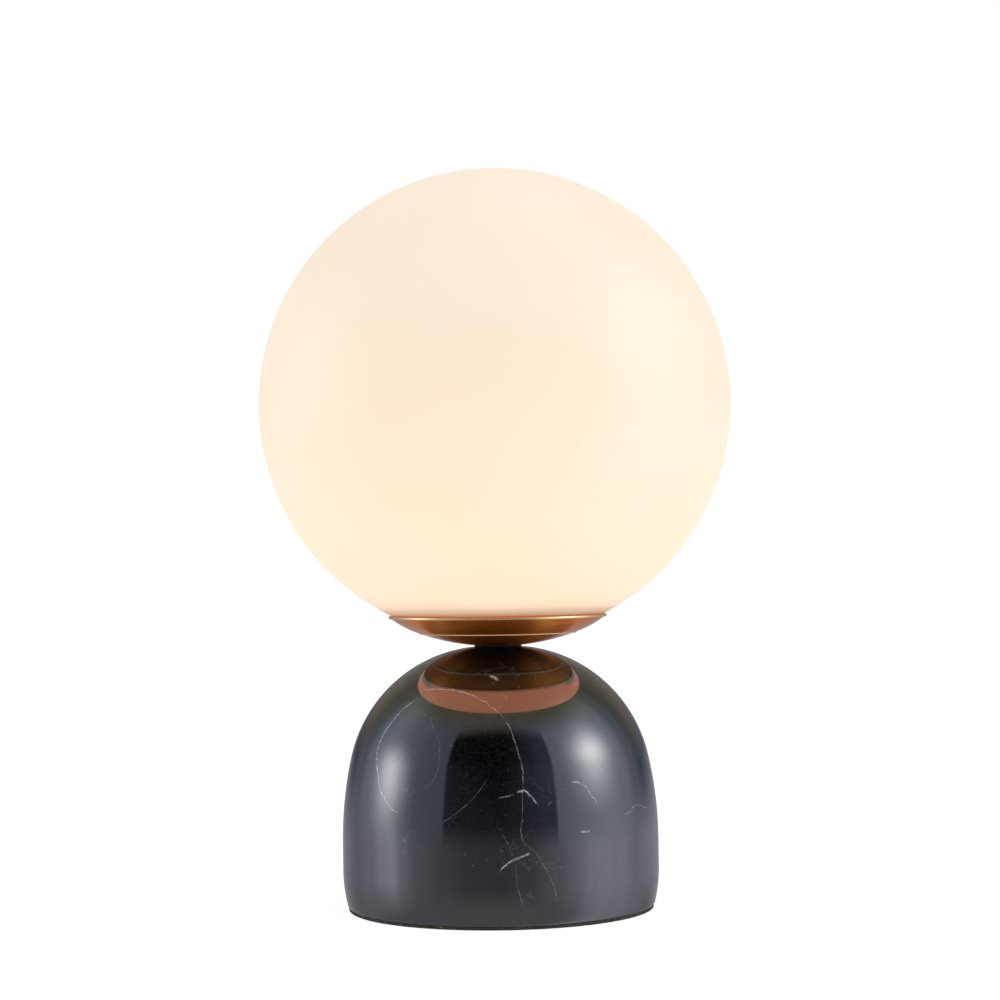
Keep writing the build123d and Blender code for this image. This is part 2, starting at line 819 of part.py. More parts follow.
def pole_screw():
    """Short slotted screw standing on the wire."""
    neck = 3.0
    top = 5.4
    slot_floor = 4.6
    shank = disc(pole_screw_radius - fit_gap, wire_radius + clearance, neck)
    slot = block((-neck, -screw_slot_half, slot_floor), (neck, screw_slot_half, top + past))
    return shank + disc(pole_screw_head, neck, top) - slot


def block_fixing():
    head_depth = 1.6
    length = block_size[2] + head_depth
    screw = countersunk_screw(block_screw_head, head_depth, block_screw_radius, length)
    return Pos(*block_screw_place, cover_top + block_size[2]) * screw


def lead(points, bend):
    """Round wire along straight runs joined by tangent arcs."""
    route = FilletPolyline(*points, radius=bend)
    section = Plane(origin=route @ 0, z_dir=route % 0) * Circle(wire_radius)
    print(f"lead of {route.length:.1f} mm, bends of {bend} mm")
    return sweep(section, path=route)


terminal_entry = core_bottom - terminal_height + 1.2
terminal_drop = terminal_entry - 4.2
stem_entry = stem_top + 2.4
pole_end = block_centre[0] + 3.0
live_row, neutral_row, earth_row = pole_rows

nodes["terminal_block"] = terminal_block()
nodes["block_clamps"] = group(at_poles(pole_clamp()))
nodes["block_screws"] = group(at_poles(pole_screw(), (-block_well_offset, block_well_offset)))
nodes["block_fixing"] = block_fixing()
nodes["live_lead"] = lead(
    [
        (terminal_offset, 0, terminal_entry),
        (terminal_offset, 0, terminal_drop),
        (wire_offset, 0, stem_entry),
        (wire_offset, 0, 12.5),
        (-6, -9, pole_axis + 0.5),
        (-14, live_row, pole_axis),
        (pole_end, live_row, pole_axis),
    ],
    1.6,
)
nodes["neutral_lead"] = lead(
    [
        (-terminal_offset, 0, terminal_entry),
        (-terminal_offset, 0, terminal_drop),
        (-wire_offset, 0, stem_entry),
        (-wire_offset, 0, 17),
        (-8, -2, 11),
        (-14, neutral_row, pole_axis),
        (pole_end, neutral_row, pole_axis),
    ],
    1.6,
)
nodes["earth_lead"] = lead(
    [
        (tag_barrel_centre - 1, 0, tag_axis),
        (23, 0, tag_axis),
        (25, 8, 15),
        (8, 13, 9.5),
        (-12, earth_row, pole_axis),
        (pole_end, earth_row, pole_axis),
    ],
    3.0,
)

# ------------------------------------------------------------------ files

os.makedirs("parts", exist_ok=True)
for name, shape in nodes.items():
    export_step(shape, f"parts/{name}.step")
print(len(nodes), "nodes")
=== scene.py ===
from math import asin, atan2, cos, hypot, pi, radians, sin, sqrt, tau

import bmesh
import bpy
from bpy.props import FloatProperty, FloatVectorProperty, IntProperty, PointerProperty
from mathutils import Euler, Matrix, Vector, noise


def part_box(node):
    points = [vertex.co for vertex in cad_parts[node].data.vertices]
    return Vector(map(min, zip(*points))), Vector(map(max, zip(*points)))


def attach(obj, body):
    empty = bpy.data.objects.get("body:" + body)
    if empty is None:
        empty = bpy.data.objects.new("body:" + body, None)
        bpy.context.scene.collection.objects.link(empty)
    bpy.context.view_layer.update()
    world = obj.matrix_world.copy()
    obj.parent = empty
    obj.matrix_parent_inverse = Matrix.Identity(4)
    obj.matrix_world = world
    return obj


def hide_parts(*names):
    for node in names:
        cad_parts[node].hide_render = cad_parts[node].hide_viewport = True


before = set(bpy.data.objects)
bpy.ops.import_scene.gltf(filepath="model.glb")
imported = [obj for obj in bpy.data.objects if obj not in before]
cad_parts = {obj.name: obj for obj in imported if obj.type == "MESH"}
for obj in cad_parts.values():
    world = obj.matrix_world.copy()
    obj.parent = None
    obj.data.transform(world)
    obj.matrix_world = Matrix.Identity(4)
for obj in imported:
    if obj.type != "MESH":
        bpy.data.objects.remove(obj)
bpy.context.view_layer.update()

bl_info = {
    "name": "Glass globe table lamp",
    "version": (1, 0, 0),
    "blender": (4, 5, 0),
    "location": "3D View > Sidebar > Globe lamp",
    "description": "Models and finishes a lamp with an opal globe on a marble base",
    "category": "Add Mesh",
}

mm = 0.001
in_mm = (1000, 1000, 1000)  # scale that gives object coordinates in millimetres
axis_up = (0, 0, 1)
usual_crease = 35  # degrees between two faces from which their edge stays sharp
cord_height = 14 * mm
cord_seat = 65.4 * mm  # how far behind the axis the bushing's flange sits in the marble
floor_gap = 0.2 * mm  # the floor lies this far under the felt
lamp_aim = (0, 0, 0.16)

globe_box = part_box("glass_globe")
dish_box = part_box("dish")
marble_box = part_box("marble_base")
felt_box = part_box("felt_pad")
spacer_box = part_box("neck_spacer")
gland_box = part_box("cable_gland")

# ------------------------------------------------------------------ sizes, colours and studio


def length(name, description, default):
    return FloatProperty(name=name, description=description, default=default, unit="LENGTH", precision=5)


def share(name, description, default, high=1.0):
    return FloatProperty(name=name, description=description, default=default, min=0, max=high)


def turn(name, description, default):
    return FloatProperty(name=name, description=description, default=radians(default), subtype="ANGLE")


def colour(name, description, default):
    return FloatVectorProperty(
        name=name, description=description, default=default, size=3, subtype="COLOR", min=0, max=4
    )


class LampSizes(bpy.types.PropertyGroup):
    """Sizes of the pieces that are modelled here."""

    globe_radius: length("Globe radius", "Outside radius of the opal globe", 100 * mm)
    glass_wall: length("Glass wall", "Thickness of the opal glass", 3 * mm)
    mouth_radius: length("Mouth radius", "Radius of the opening at the bottom of the globe", 38 * mm)
    lip_round: length("Lip round", "Rounding of the edges of the mouth", 1.2 * mm)
    base_radius: length("Base radius", "Largest radius of the marble", 66.8 * mm)
    seat_radius: length("Seat radius", "Flat on top of the marble, under the neck", 10.5 * mm)
    shoulder_radius: length("Shoulder radius", "Radius of the marble's shoulder arc", 59.3 * mm)
    flank_radius: length("Flank radius", "Radius of the marble's flank arc", 158 * mm)
    flank_slope: turn("Flank slope", "Slope where shoulder and flank meet", 77.25)
    foot_radius: length("Foot radius", "Radius of the arc that draws the marble in at the bottom", 60 * mm)
    foot_height: length("Foot height", "Height where the marble starts to draw in", 17 * mm)
    dish_wall: length("Dish wall", "Thickness of the brass sheet", 0.9 * mm)
    line_bead: length("Line bead", "Radius of the raised line round the dish", 0.5 * mm)
    rim_bead: length("Rim bead", "Radius of the rolled rim of the dish", 0.62 * mm)
    turned_sides: IntProperty(name="Turned sides", description="Sides of a full turn", default=192, min=24)


class LampColours(bpy.types.PropertyGroup):
    """Colours of the finishes that show."""

    opal: colour("Opal", "Body colour of the glass", (0.30, 0.285, 0.26))
    stone: colour("Stone", "Ground of the marble", (0.0010, 0.0010, 0.0013))
    vein: colour("Vein", "Calcite veins in the marble", (0.56, 0.59, 0.64))
    brass: colour("Brass", "Brushed brass of the dish", (1.0, 0.295, 0.03))
    felt: colour("Felt", "Pad under the base", (0.004, 0.004, 0.004))


class LampStudio(bpy.types.PropertyGroup):
    """Camera, lamps and floor."""

    distance: length("Distance", "From the camera to the lamp's axis", 1.0)
    height: length("Height", "Of the camera above the table", 146.9 * mm)
    aside: length("Aside", "How far the camera stands to the right of the axis", 1.7 * mm)
    pitch: turn("Pitch", "How far the camera looks up", 1.462)
    roll: turn("Roll", "How far the camera is tilted", 0.8)
    lens: FloatProperty(name="Lens", description="Focal length in millimetres", default=84.6)
    sky: share("Sky", "Brightness of the surroundings as a light", 0.55, 2.0)
    floor_glow: share("Floor glow", "White that the floor shows the camera of its own", 0.875)
    key: FloatProperty(name="Key", description="Power of the large soft lamps", default=5.0, unit="POWER")


# ------------------------------------------------------------------ node trees


class Paint:
    """Builds one node tree. A value is a number, a colour or the output of another node."""

    def __init__(self, owner):
        owner.use_nodes = True
        self.tree = owner.node_tree
        self.tree.nodes.clear()

    def put(self, socket, value):
        if isinstance(value, bpy.types.NodeSocket):
            self.tree.links.new(value, socket)
        elif socket.type == "RGBA":
            socket.default_value = (*value[:3], 1)
        else:
            socket.default_value = value

    def add(self, kind, inputs=None, **settings):
        node = self.tree.nodes.new(kind)
        for name, value in settings.items():
            setattr(node, name, value)
        for key, value in (inputs or {}).items():
            self.put(node.inputs[key], value)
        return node

    def math(self, operation, *values):
        return self.add("ShaderNodeMath", dict(enumerate(values)), operation=operation).outputs[0]

    def plus(self, first, second):
        return self.math("ADD", first, second)

    def gap(self, first, second):
        """Distance between two values, always positive."""
        return self.math("ABSOLUTE", self.math("SUBTRACT", first, second))

    def product(self, *values):
        result = values[0]
        for value in values[1:]:
            result = self.math("MULTIPLY", result, value)
        return result

    def brightest(self, values):
        result = values[0]
        for value in values[1:]:
            result = self.math("MAXIMUM", result, value)
        return result

    def remap(self, value, start, end, low=0.0, high=1.0, soft=False):
        kind = "SMOOTHSTEP" if soft else "LINEAR"
        inputs = {"Value": value, "From Min": start, "From Max": end, "To Min": low, "To Max": high}
        return self.add("ShaderNodeMapRange", inputs, interpolation_type=kind).outputs["Result"]

    def mix(self, factor, first, second, blend="MIX"):
        inputs = {0: factor, 6: first, 7: second}
        return self.add("ShaderNodeMix", inputs, data_type="RGBA", blend_type=blend).outputs[2]

    def ramp(self, value, stops, interpolation="LINEAR"):
        """Colours along a value; a stop is (place, colour)."""
        node = self.add("ShaderNodeValToRGB", {"Fac": value})
        elements = node.color_ramp.elements
        node.color_ramp.interpolation = interpolation
        while len(elements) < len(stops):
            elements.new(1)
        for element, stop in zip(elements, stops):
            element.position = stop[0]
        for element, stop in zip(elements, stops):
            element.color = (*stop[1], 1)
        return node.outputs["Color"]

    def curve(self, value, points):
        """Smooth curve through points between 0 and 1."""
        node = self.add("ShaderNodeFloatCurve", {"Value": value})
        track = node.mapping.curves[0].points
        while len(track) < len(points):
            track.new(1, 1)
        for knot, point in zip(track, points):
            knot.location = point
        node.mapping.update()
        return node.outputs[0]

    def place(self, stretch=(1, 1, 1), shift=(0, 0, 0)):
        """Object coordinates, scaled and shifted."""
        source = self.add("ShaderNodeTexCoord").outputs["Object"]
        if stretch == (1, 1, 1) and shift == (0, 0, 0):
            return source
        inputs = {"Vector": source, "Scale": stretch, "Location": shift}
        return self.add("ShaderNodeMapping", inputs).outputs[0]

    def split(self, vector):
        return self.add("ShaderNodeSeparateXYZ", {0: vector}).outputs

    def join(self, x, y, z):
        return self.add("ShaderNodeCombineXYZ", {0: x, 1: y, 2: z}).outputs[0]

    def from_axis(self, x, y):
        """Distance from the upright axis."""
        return self.math("POWER", self.plus(self.product(x, x), self.product(y, y)), 0.5)

    def from_front(self, x, y):
        """Degrees about the upright axis, counted from the front to the right."""
        return self.math("DEGREES", self.math("ARCTAN2", x, self.math("MULTIPLY", y, -1)))

    def noise(self, vector, size, detail=2.0, roughness=0.5, distortion=0.0):
        """Cloudy noise between 0 and 1 whose clouds are about size across."""
        inputs = {
            "Vector": vector, "Scale": 1 / size, "Detail": detail,
            "Roughness": roughness, "Distortion": distortion,
        }
        return self.add("ShaderNodeTexNoise", inputs).outputs["Fac"]

    def crack(self, vector, size, detail, roughness, distortion, strength):
        """Thin line where a cloudy noise passes its middle value."""
        off = self.gap(self.noise(vector, size, detail, roughness, distortion), 0.5)
        return self.remap(off, 0.0005, 0.004, strength, 0)

    def cells(self, vector, size):
        return self.add("ShaderNodeTexVoronoi", {"Vector": vector, "Scale": 1 / size}).outputs

    def bump(self, height, depth):
        inputs = {"Height": height, "Distance": depth, "Strength": 1.0}
        return self.add("ShaderNodeBump", inputs).outputs[0]

    def surface(self, sockets):
        shader = self.add("ShaderNodeBsdfPrincipled", sockets)
        self.add("ShaderNodeOutputMaterial", {"Surface": shader.outputs[0]})


def new_paint(name):
    material = bpy.data.materials.new(name)
    return material, Paint(material)


# ------------------------------------------------------------------ finishes that show most


# Light that leaves the opal glass, by height above its mouth in millimetres. Low down it is painted dim
# and red as painted shade of the dish and the bulb's housing; close to the mouth it is painted weaker
# where the glass is seen edge-on.
glow_levels = (
    (0, (0.12, 0.03, 0.01)), (3.4, (0.30, 0.10, 0.02)), (4.6, (2.00, 0.66, 0.46)),
    (35, (2.00, 0.65, 0.455)), (65, (0.85, 0.62, 0.44)), (93, (0.74, 0.595, 0.425)),
    (192, (0.66, 0.545, 0.42)),
)
edge_on_levels = (
    (0, (0.12, 0.03, 0.01)), (3.0, (0.30, 0.10, 0.02)), (4.3, (0.52, 0.30, 0.14)),
    (5.5, (0.62, 0.43, 0.27)), (6.4, (0.80, 0.53, 0.35)), (7.1, (1.90, 0.57, 0.38)),
    (8.5, (2.00, 0.62, 0.42)), (12, (2.00, 0.66, 0.46)),
)


def opal_glass(colours):
    """Frosted opal glass, lit from inside."""
    material, paint = new_paint("opal_glass_lit")
    where = paint.place()
    mouth = globe_box[0].z
    height = paint.split(where)[2]

    def by_height(levels):
        reach = levels[-1][0]
        travelled = paint.remap(height, mouth, mouth + reach * mm)
        return paint.ramp(travelled, [(rise / reach, shade) for rise, shade in levels])

    straight = by_height(glow_levels)
    edge_on = by_height(edge_on_levels)
    facing = paint.add("ShaderNodeLayerWeight", {"Blend": 0.5}).outputs["Facing"]
    near_mouth = paint.math("LESS_THAN", height, mouth + edge_on_levels[-1][0] * mm)
    slanting = paint.product(paint.remap(facing, 0.455, 0.515), near_mouth)
    cloud = paint.noise(where, 60 * mm, 1.0)
    frost = paint.noise(where, 0.35 * mm, 3.0)
    glow = paint.mix(slanting, straight, edge_on)
    milkier = (0.31, 0.30, 0.285)
    paint.surface({
        "Base Color": paint.mix(paint.remap(cloud, 0.3, 0.7), colours.opal, milkier),
        "Roughness": paint.remap(frost, 0.3, 0.7, 0.42, 0.50),
        "IOR": 1.45,
        "Normal": paint.bump(frost, 0.004 * mm),
        "Emission Color": paint.mix(paint.remap(cloud, 0.3, 0.7, 0.0, 0.02), glow, (1, 1, 1)),
        "Emission Strength": 1.0,
    })
    return material


# Veins of the marble: name, half width in millimetres, strength, and points as (degrees from the
# front, height in millimetres). A steep vein is drawn as angle over height, a flat one as height
# over angle.
steep_veins = (
    (
        "left arc", 0.42, 0.95,
        ((-37, 45.4), (-45.3, 50.7), (-52, 61.9), (-54.4, 70.6), (-51, 81.6), (-42.5, 90.3)),
    ),
    ("upper run", 0.34, 0.42, ((8.2, 57), (8.2, 62), (6.4, 72.5), (4.1, 80.3), (2.6, 83.5))),
    (
        "lower run", 0.26, 0.30,
        ((20.4, 10.1), (17, 20.3), (12.5, 29.6), (7, 38.8), (7.4, 43.6), (8.3, 57)),
    ),
    ("hair", 0.22, 0.22, ((7.5, 8), (5.5, 19.8), (3.8, 29.8), (-1.2, 41.7))),
    (
        "inner arc", 0.24, 0.20,
        ((-33.3, 49.6), (-32.4, 54), (-25.2, 58), (-22.9, 70.6), (-27.9, 79.8), (-42.9, 88)),
    ),
)
flat_veins = (
    ("crown", 0.34, 0.50, ((-42.1, 94.3), (-19.8, 93.6), (-7.3, 89.9), (2.6, 83.4))),
    ("knot", 0.62, 0.95, ((5.6, 54.3), (8, 55.2), (9.6, 54.4), (11.5, 52.1), (13.8, 48.9))),
    ("spur", 0.40, 0.5, ((-0.6, 52.6), (3, 53.4), (5.6, 54.3))),
    ("chip", 0.40, 0.5, ((16.4, 48.8), (18.8, 50.8))),
    ("streak", 0.62, 0.85, ((-1.2, 22.7), (2.8, 27), (6.6, 29), (10.4, 30.5))),
    ("cloud", 0.55, 0.6, ((26, 57.4), (30.5, 57), (33.7, 53.2), (37.1, 46.9))),
    ("dash", 0.62, 0.7, ((28.2, 38), (31, 37.9), (33.4, 38.6))),
    ("right", 0.40, 0.5, ((49.5, 43.2), (53, 44), (57.5, 45.9), (62, 45.2), (66.3, 42.8))),
    ("fleck", 0.8, 0.9, ((-5.4, 99.6), (-2, 98.8), (0.4, 97.8))),
    ("diagonal", 0.24, 0.32, ((-21, 42.3), (-13.1, 48.5), (-8.9, 53), (-3.7, 61.2))),
)
# The sides and the back repeat the front's veins: turned by degrees, stretched or mirrored, lifted by
# millimetres, and upright (1) or upside down (-1).
side_families = ((-118, -0.85, 6, 1), (123, 0.9, 112, -1))
mean_radius = 62.0  # of the marble in millimetres, to measure how far apart two angles are


def vein_line(paint, along, across, points, width, strength, scale_across):
    """Soft-edged line whose place across follows a smooth curve along."""
    start, end = points[0][0], points[-1][0]
    low = min(point[1] for point in points)
    high = max(point[1] for point in points)
    span = max(high - low, 0.001)
    knots = [((a - start) / (end - start), (b - low) / span) for a, b in points]
    travelled = paint.remap(along, start, end)
    path = paint.remap(paint.curve(travelled, knots), 0, 1, low, high)
    off = paint.product(paint.gap(across, path), scale_across)
    line = paint.remap(off, 0.25 * width, width, 1, 0, soft=True)
    taper = 1.5
    fade_in = paint.remap(along, start, start + taper)
    fade_out = paint.remap(along, end, end - taper)
    return paint.product(line, paint.product(fade_in, fade_out), strength)


def vein_family(paint, angle, height):
    """All named veins of the marble at one turn of the base."""
    per_degree = radians(1) * mean_radius
    lines = []
    for name, width, strength, points in steep_veins:
        swapped = [(z, degree) for degree, z in points]
        lines.append(vein_line(paint, height, angle, swapped, width, strength, per_degree))
    for name, width, strength, points in flat_veins:
        lines.append(vein_line(paint, angle, height, points, width, strength, 1.0))
    return paint.brightest(lines)


def drawn_veins(paint, where):
    """The seen veins in front and their kin on the sides, swayed and broken by noise."""
    x, y, height = paint.split(where)
    sway = paint.noise(where, 16, 3.0, 0.6)
    jitter = paint.noise(paint.place(in_mm, (31, 7, 3)), 3.2, 4.0, 0.65)
    wobble = paint.plus(paint.remap(sway, 0, 1, -0.9, 0.9), paint.remap(jitter, 0, 1, -0.8, 0.8))
    level = paint.plus(height, wobble)
    front = paint.plus(paint.from_front(x, y), wobble)
    families = [vein_family(paint, front, level)]
    low_enough = paint.remap(height, 90, 84)
    aside = paint.product(paint.remap(paint.math("ABSOLUTE", front), 72, 84), low_enough)
    for shift, mirror, lift, way in side_families:
        angle = paint.math("WRAP", paint.plus(front, shift), 180, -180)
        turned = paint.math("MULTIPLY_ADD", level, way, lift)
        patches = paint.noise(paint.place(in_mm, (lift, 4, 9)), 17, 1.0)
        family = vein_family(paint, paint.product(angle, mirror), turned)
        families.append(paint.product(family, aside, paint.remap(patches, 0.46, 0.54)))
    broken = paint.remap(paint.noise(where, 1.1, 4.0, 0.75), 0.42, 0.60, 0.12, 1.0)
    return paint.product(paint.brightest(families), broken)


def scattered_marks(paint, where):
    """Hairlines in patches, a faint web all over, and small flecks."""
    patches = paint.remap(paint.noise(where, 28, 1.0), 0.52, 0.68)
    hair = paint.product(paint.crack(where, 30, 4.0, 0.55, 1.2, 1), patches, 0.16)
    web = paint.crack(paint.place(in_mm, (12, 40, 5)), 14, 3.0, 0.5, 0.8, 0.022)
    spacing = 2.8
    spots = paint.cells(paint.place(in_mm, (5, 9, 2)), spacing)
    chance, bulk, _ = paint.split(spots["Color"])
    radius = paint.remap(bulk, 0, 1, 0.10, 0.30)
    fleck = paint.math("LESS_THAN", paint.math("MULTIPLY", spots["Distance"], spacing), radius)
    return [hair, web, paint.product(fleck, paint.remap(chance, 0.70, 0.71), 0.24)]


def polished_marble(colours):
    """Black marble with calcite veins, hairlines and flecks, under a hard polish."""
    material, paint = new_paint("polished_black_marble")
    where = paint.place(in_mm)
    height = paint.split(where)[2]
    veins = paint.brightest([drawn_veins(paint, where), *scattered_marks(paint, where)])
    cloud = paint.remap(paint.noise(where, 22, 3.0), 0.35, 0.75)
    grain = paint.remap(paint.noise(paint.place(in_mm, (2, 6, 4)), 0.9, 2.0, 0.6), 0.50, 0.72)
    ground = paint.mix(cloud, colours.stone, (0.0030, 0.0032, 0.0045))
    ground = paint.mix(grain, ground, (0.012, 0.012, 0.014))
    haze = paint.remap(paint.noise(where, 9, 5.0, 0.6), 0.3, 0.7, 0.045, 0.075)
    # The polish's reflections are painted yellower on the crown, as the globe's warm glow, and painted
    # bluer close to the neck.
    crown = paint.remap(height, 80, 88, soft=True)
    seat = paint.remap(height, 94, 98, soft=True)
    painted_reflection_tint = paint.mix(crown, (1, 1, 1), (0.99, 0.985, 0.68))
    painted_reflection_tint = paint.mix(seat, painted_reflection_tint, (0.70, 0.98, 1.0))
    paint.surface({
        "Base Color": paint.mix(veins, ground, colours.vein),
        "Roughness": paint.plus(haze, paint.product(veins, 0.12)),
        "IOR": 1.95,
        "Specular Tint": painted_reflection_tint,
        "Normal": paint.bump(paint.noise(where, 1.2, 3.0), 0.0006 * mm),
    })
    return material


def brushed_dish(colours):
    """Brass brushed while it turned, then lacquered; painted highlights on raised line and rim, painted
    shade inside the line.
    """
    material, paint = new_paint("brushed_dish_brass")
    line_at, groove_at, rim_at = 33, 32, 45  # radii in millimetres
    where = paint.place(in_mm)
    x, y, height = paint.split(where)
    radius = paint.from_axis(x, y)
    angle = paint.math("ARCTAN2", x, y)
    rings = paint.noise(paint.join(radius, height, paint.product(angle, 0.5)), 0.22, 3.0, 0.6)
    tone = paint.noise(where, 18, 3.0)
    warm = paint.mix(paint.remap(tone, 0.3, 0.7), colours.brass, (0.98, 0.25, 0.022))
    warm = paint.mix(paint.remap(rings, 0.35, 0.65, 0.0, 0.25), warm, (1.0, 0.37, 0.055))
    # The raised line is painted paler and less metallic, and the rolled rim paler: painted highlights
    # where they catch the light; both are smoother too.
    line = paint.remap(paint.gap(radius, line_at), 0.55, 0.85, 1, 0)
    # Just inside the raised line the colour is painted dark: painted shade in the corner under the bead.
    groove = paint.remap(paint.gap(radius, groove_at), 0.3, 0.6, 0.5, 0)
    painted_rim_highlight = paint.product(paint.remap(radius, rim_at, rim_at + 0.4), 0.85)
    painted_highlight = paint.math("MAXIMUM", line, painted_rim_highlight)
    painted_crease_shade = paint.mix(groove, warm, (0.10, 0.03, 0.01))
    smoothed = paint.math("SUBTRACT", rings, paint.product(painted_highlight, 0.6))
    tangent = paint.add("ShaderNodeTangent", direction_type="RADIAL", axis="Z")
    paint.surface({
        "Base Color": paint.mix(painted_highlight, painted_crease_shade, (1.0, 0.72, 0.40)),
        "Metallic": paint.remap(line, 0, 1, 1.0, 0.2),
        "Roughness": paint.remap(smoothed, -0.3, 0.7, 0.18, 0.40),
        "Anisotropic": 0.88,
        "Anisotropic Rotation": 0.25,
        "Tangent": tangent.outputs[0],
        "Coat Weight": 0.4,
        "Coat Roughness": 0.07,
        "Normal": paint.bump(rings, 0.0025 * mm),
    })
    return material


def pressed_felt(colours):
    """Wool felt with short fibres and a little lint."""
    material, paint = new_paint("pressed_felt")
    where = paint.place(in_mm)
    fibre = paint.noise(where, 0.35, 5.0, 0.75, 2.5)
    wisps = paint.noise(paint.place(in_mm, (3, 1, 8)), 0.5, 4.0, 0.8, 3.0)
    lint = paint.product(paint.remap(wisps, 0.53, 0.60), 0.8)
    paint.surface({
        "Base Color": paint.mix(lint, colours.felt, (0.40, 0.37, 0.31)),
        "Roughness": paint.remap(fibre, 0.3, 0.7, 0.85, 1.0),
        "Sheen Weight": 0.06,
        "Sheen Roughness": 0.5,
        "Normal": paint.bump(fibre, 0.25 * mm),
    })
    return material


# ------------------------------------------------------------------ finishes of the fittings


def moulded(name, shade, second, rough=(0.35, 0.5), grain=0.5, depth=0.01):
    """Moulded plastic, rubber or glaze: cloudy tone, fine grain and a worn sheen."""
    material, paint = new_paint(name)
    where = paint.place(in_mm)
    tone = paint.remap(paint.noise(where, 12, 3.0), 0.3, 0.7)
    fine = paint.noise(where, grain, 3.0, 0.6)
    paint.surface({
        "Base Color": paint.mix(tone, shade, second),
        "Roughness": paint.remap(paint.noise(where, 5, 4.0), 0.3, 0.7, *rough),
        "Normal": paint.bump(fine, depth * mm),
    })
    return material


def turned_metal(name, shade, second, rough=(0.2, 0.35), pitch=0.25, depth=0.004):
    """Metal turned or drawn about the lamp's axis: fine rings across the light."""
    material, paint = new_paint(name)
    where = paint.place(in_mm)
    x, y, height = paint.split(where)
    rings = paint.noise(paint.join(paint.from_axis(x, y), height, 0.0), pitch, 3.0, 0.6)
    tone = paint.noise(where, 7, 4.0)
    paint.surface({
        "Base Color": paint.mix(paint.remap(tone, 0.3, 0.7), shade, second),
        "Metallic": 1.0,
        "Roughness": paint.remap(rings, 0.3, 0.7, *rough),
        "Normal": paint.bump(rings, depth * mm),
    })
    return material


def plated_steel(name, shade, second, rough=(0.25, 0.42), grain=(0.15, 3.0, 3.0)):
    """Steel with a plated or rolled skin: grain along one way, and soft blotches."""
    material, paint = new_paint(name)
    where = paint.place(in_mm)
    lines = paint.noise(paint.place(tuple(1000 / g for g in grain)), 1.0, 3.0, 0.6)
    blotch = paint.noise(where, 4, 5.0, 0.6)
    paint.surface({
        "Base Color": paint.mix(paint.remap(blotch, 0.35, 0.65), shade, second),
        "Metallic": 1.0,
        "Roughness": paint.remap(lines, 0.3, 0.7, *rough),
        "Normal": paint.bump(lines, 0.004 * mm),
    })
    return material


def glowing_cover():
    """Milky plastic of the bulb, lit from the board below."""
    material, paint = new_paint("glowing_bulb_cover")
    where = paint.place()
    low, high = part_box("bulb_envelope")
    rise = paint.remap(paint.split(where)[2], low.z, high.z)
    fine = paint.noise(where, 0.4 * mm, 2.0)
    paint.surface({
        "Base Color": paint.mix(rise, (0.55, 0.52, 0.47), (0.60, 0.58, 0.54)),
        "Roughness": paint.remap(fine, 0.3, 0.7, 0.5, 0.6),
        "Normal": paint.bump(fine, 0.004 * mm),
        "Emission Color": paint.mix(rise, (0.50, 0.40, 0.26), (0.42, 0.34, 0.23)),
        "Emission Strength": 1.0,
    })
    return material


def earth_wire():
    """Green and yellow stripes that run round the wire."""
    material, paint = new_paint("striped_earth_wire")
    where = paint.place(in_mm)
    x, y, z = paint.split(where)
    wave = paint.math("SINE", paint.product(paint.plus(x, paint.plus(y, z)), 2.2))
    fine = paint.noise(where, 0.5, 3.0)
    green, yellow = (0.03, 0.22, 0.05), (0.72, 0.60, 0.03)
    paint.surface({
        "Base Color": paint.mix(paint.remap(wave, -0.1, 0.1), green, yellow),
        "Roughness": paint.remap(fine, 0.3, 0.7, 0.35, 0.5),
        "Normal": paint.bump(fine, 0.01 * mm),
    })
    return material


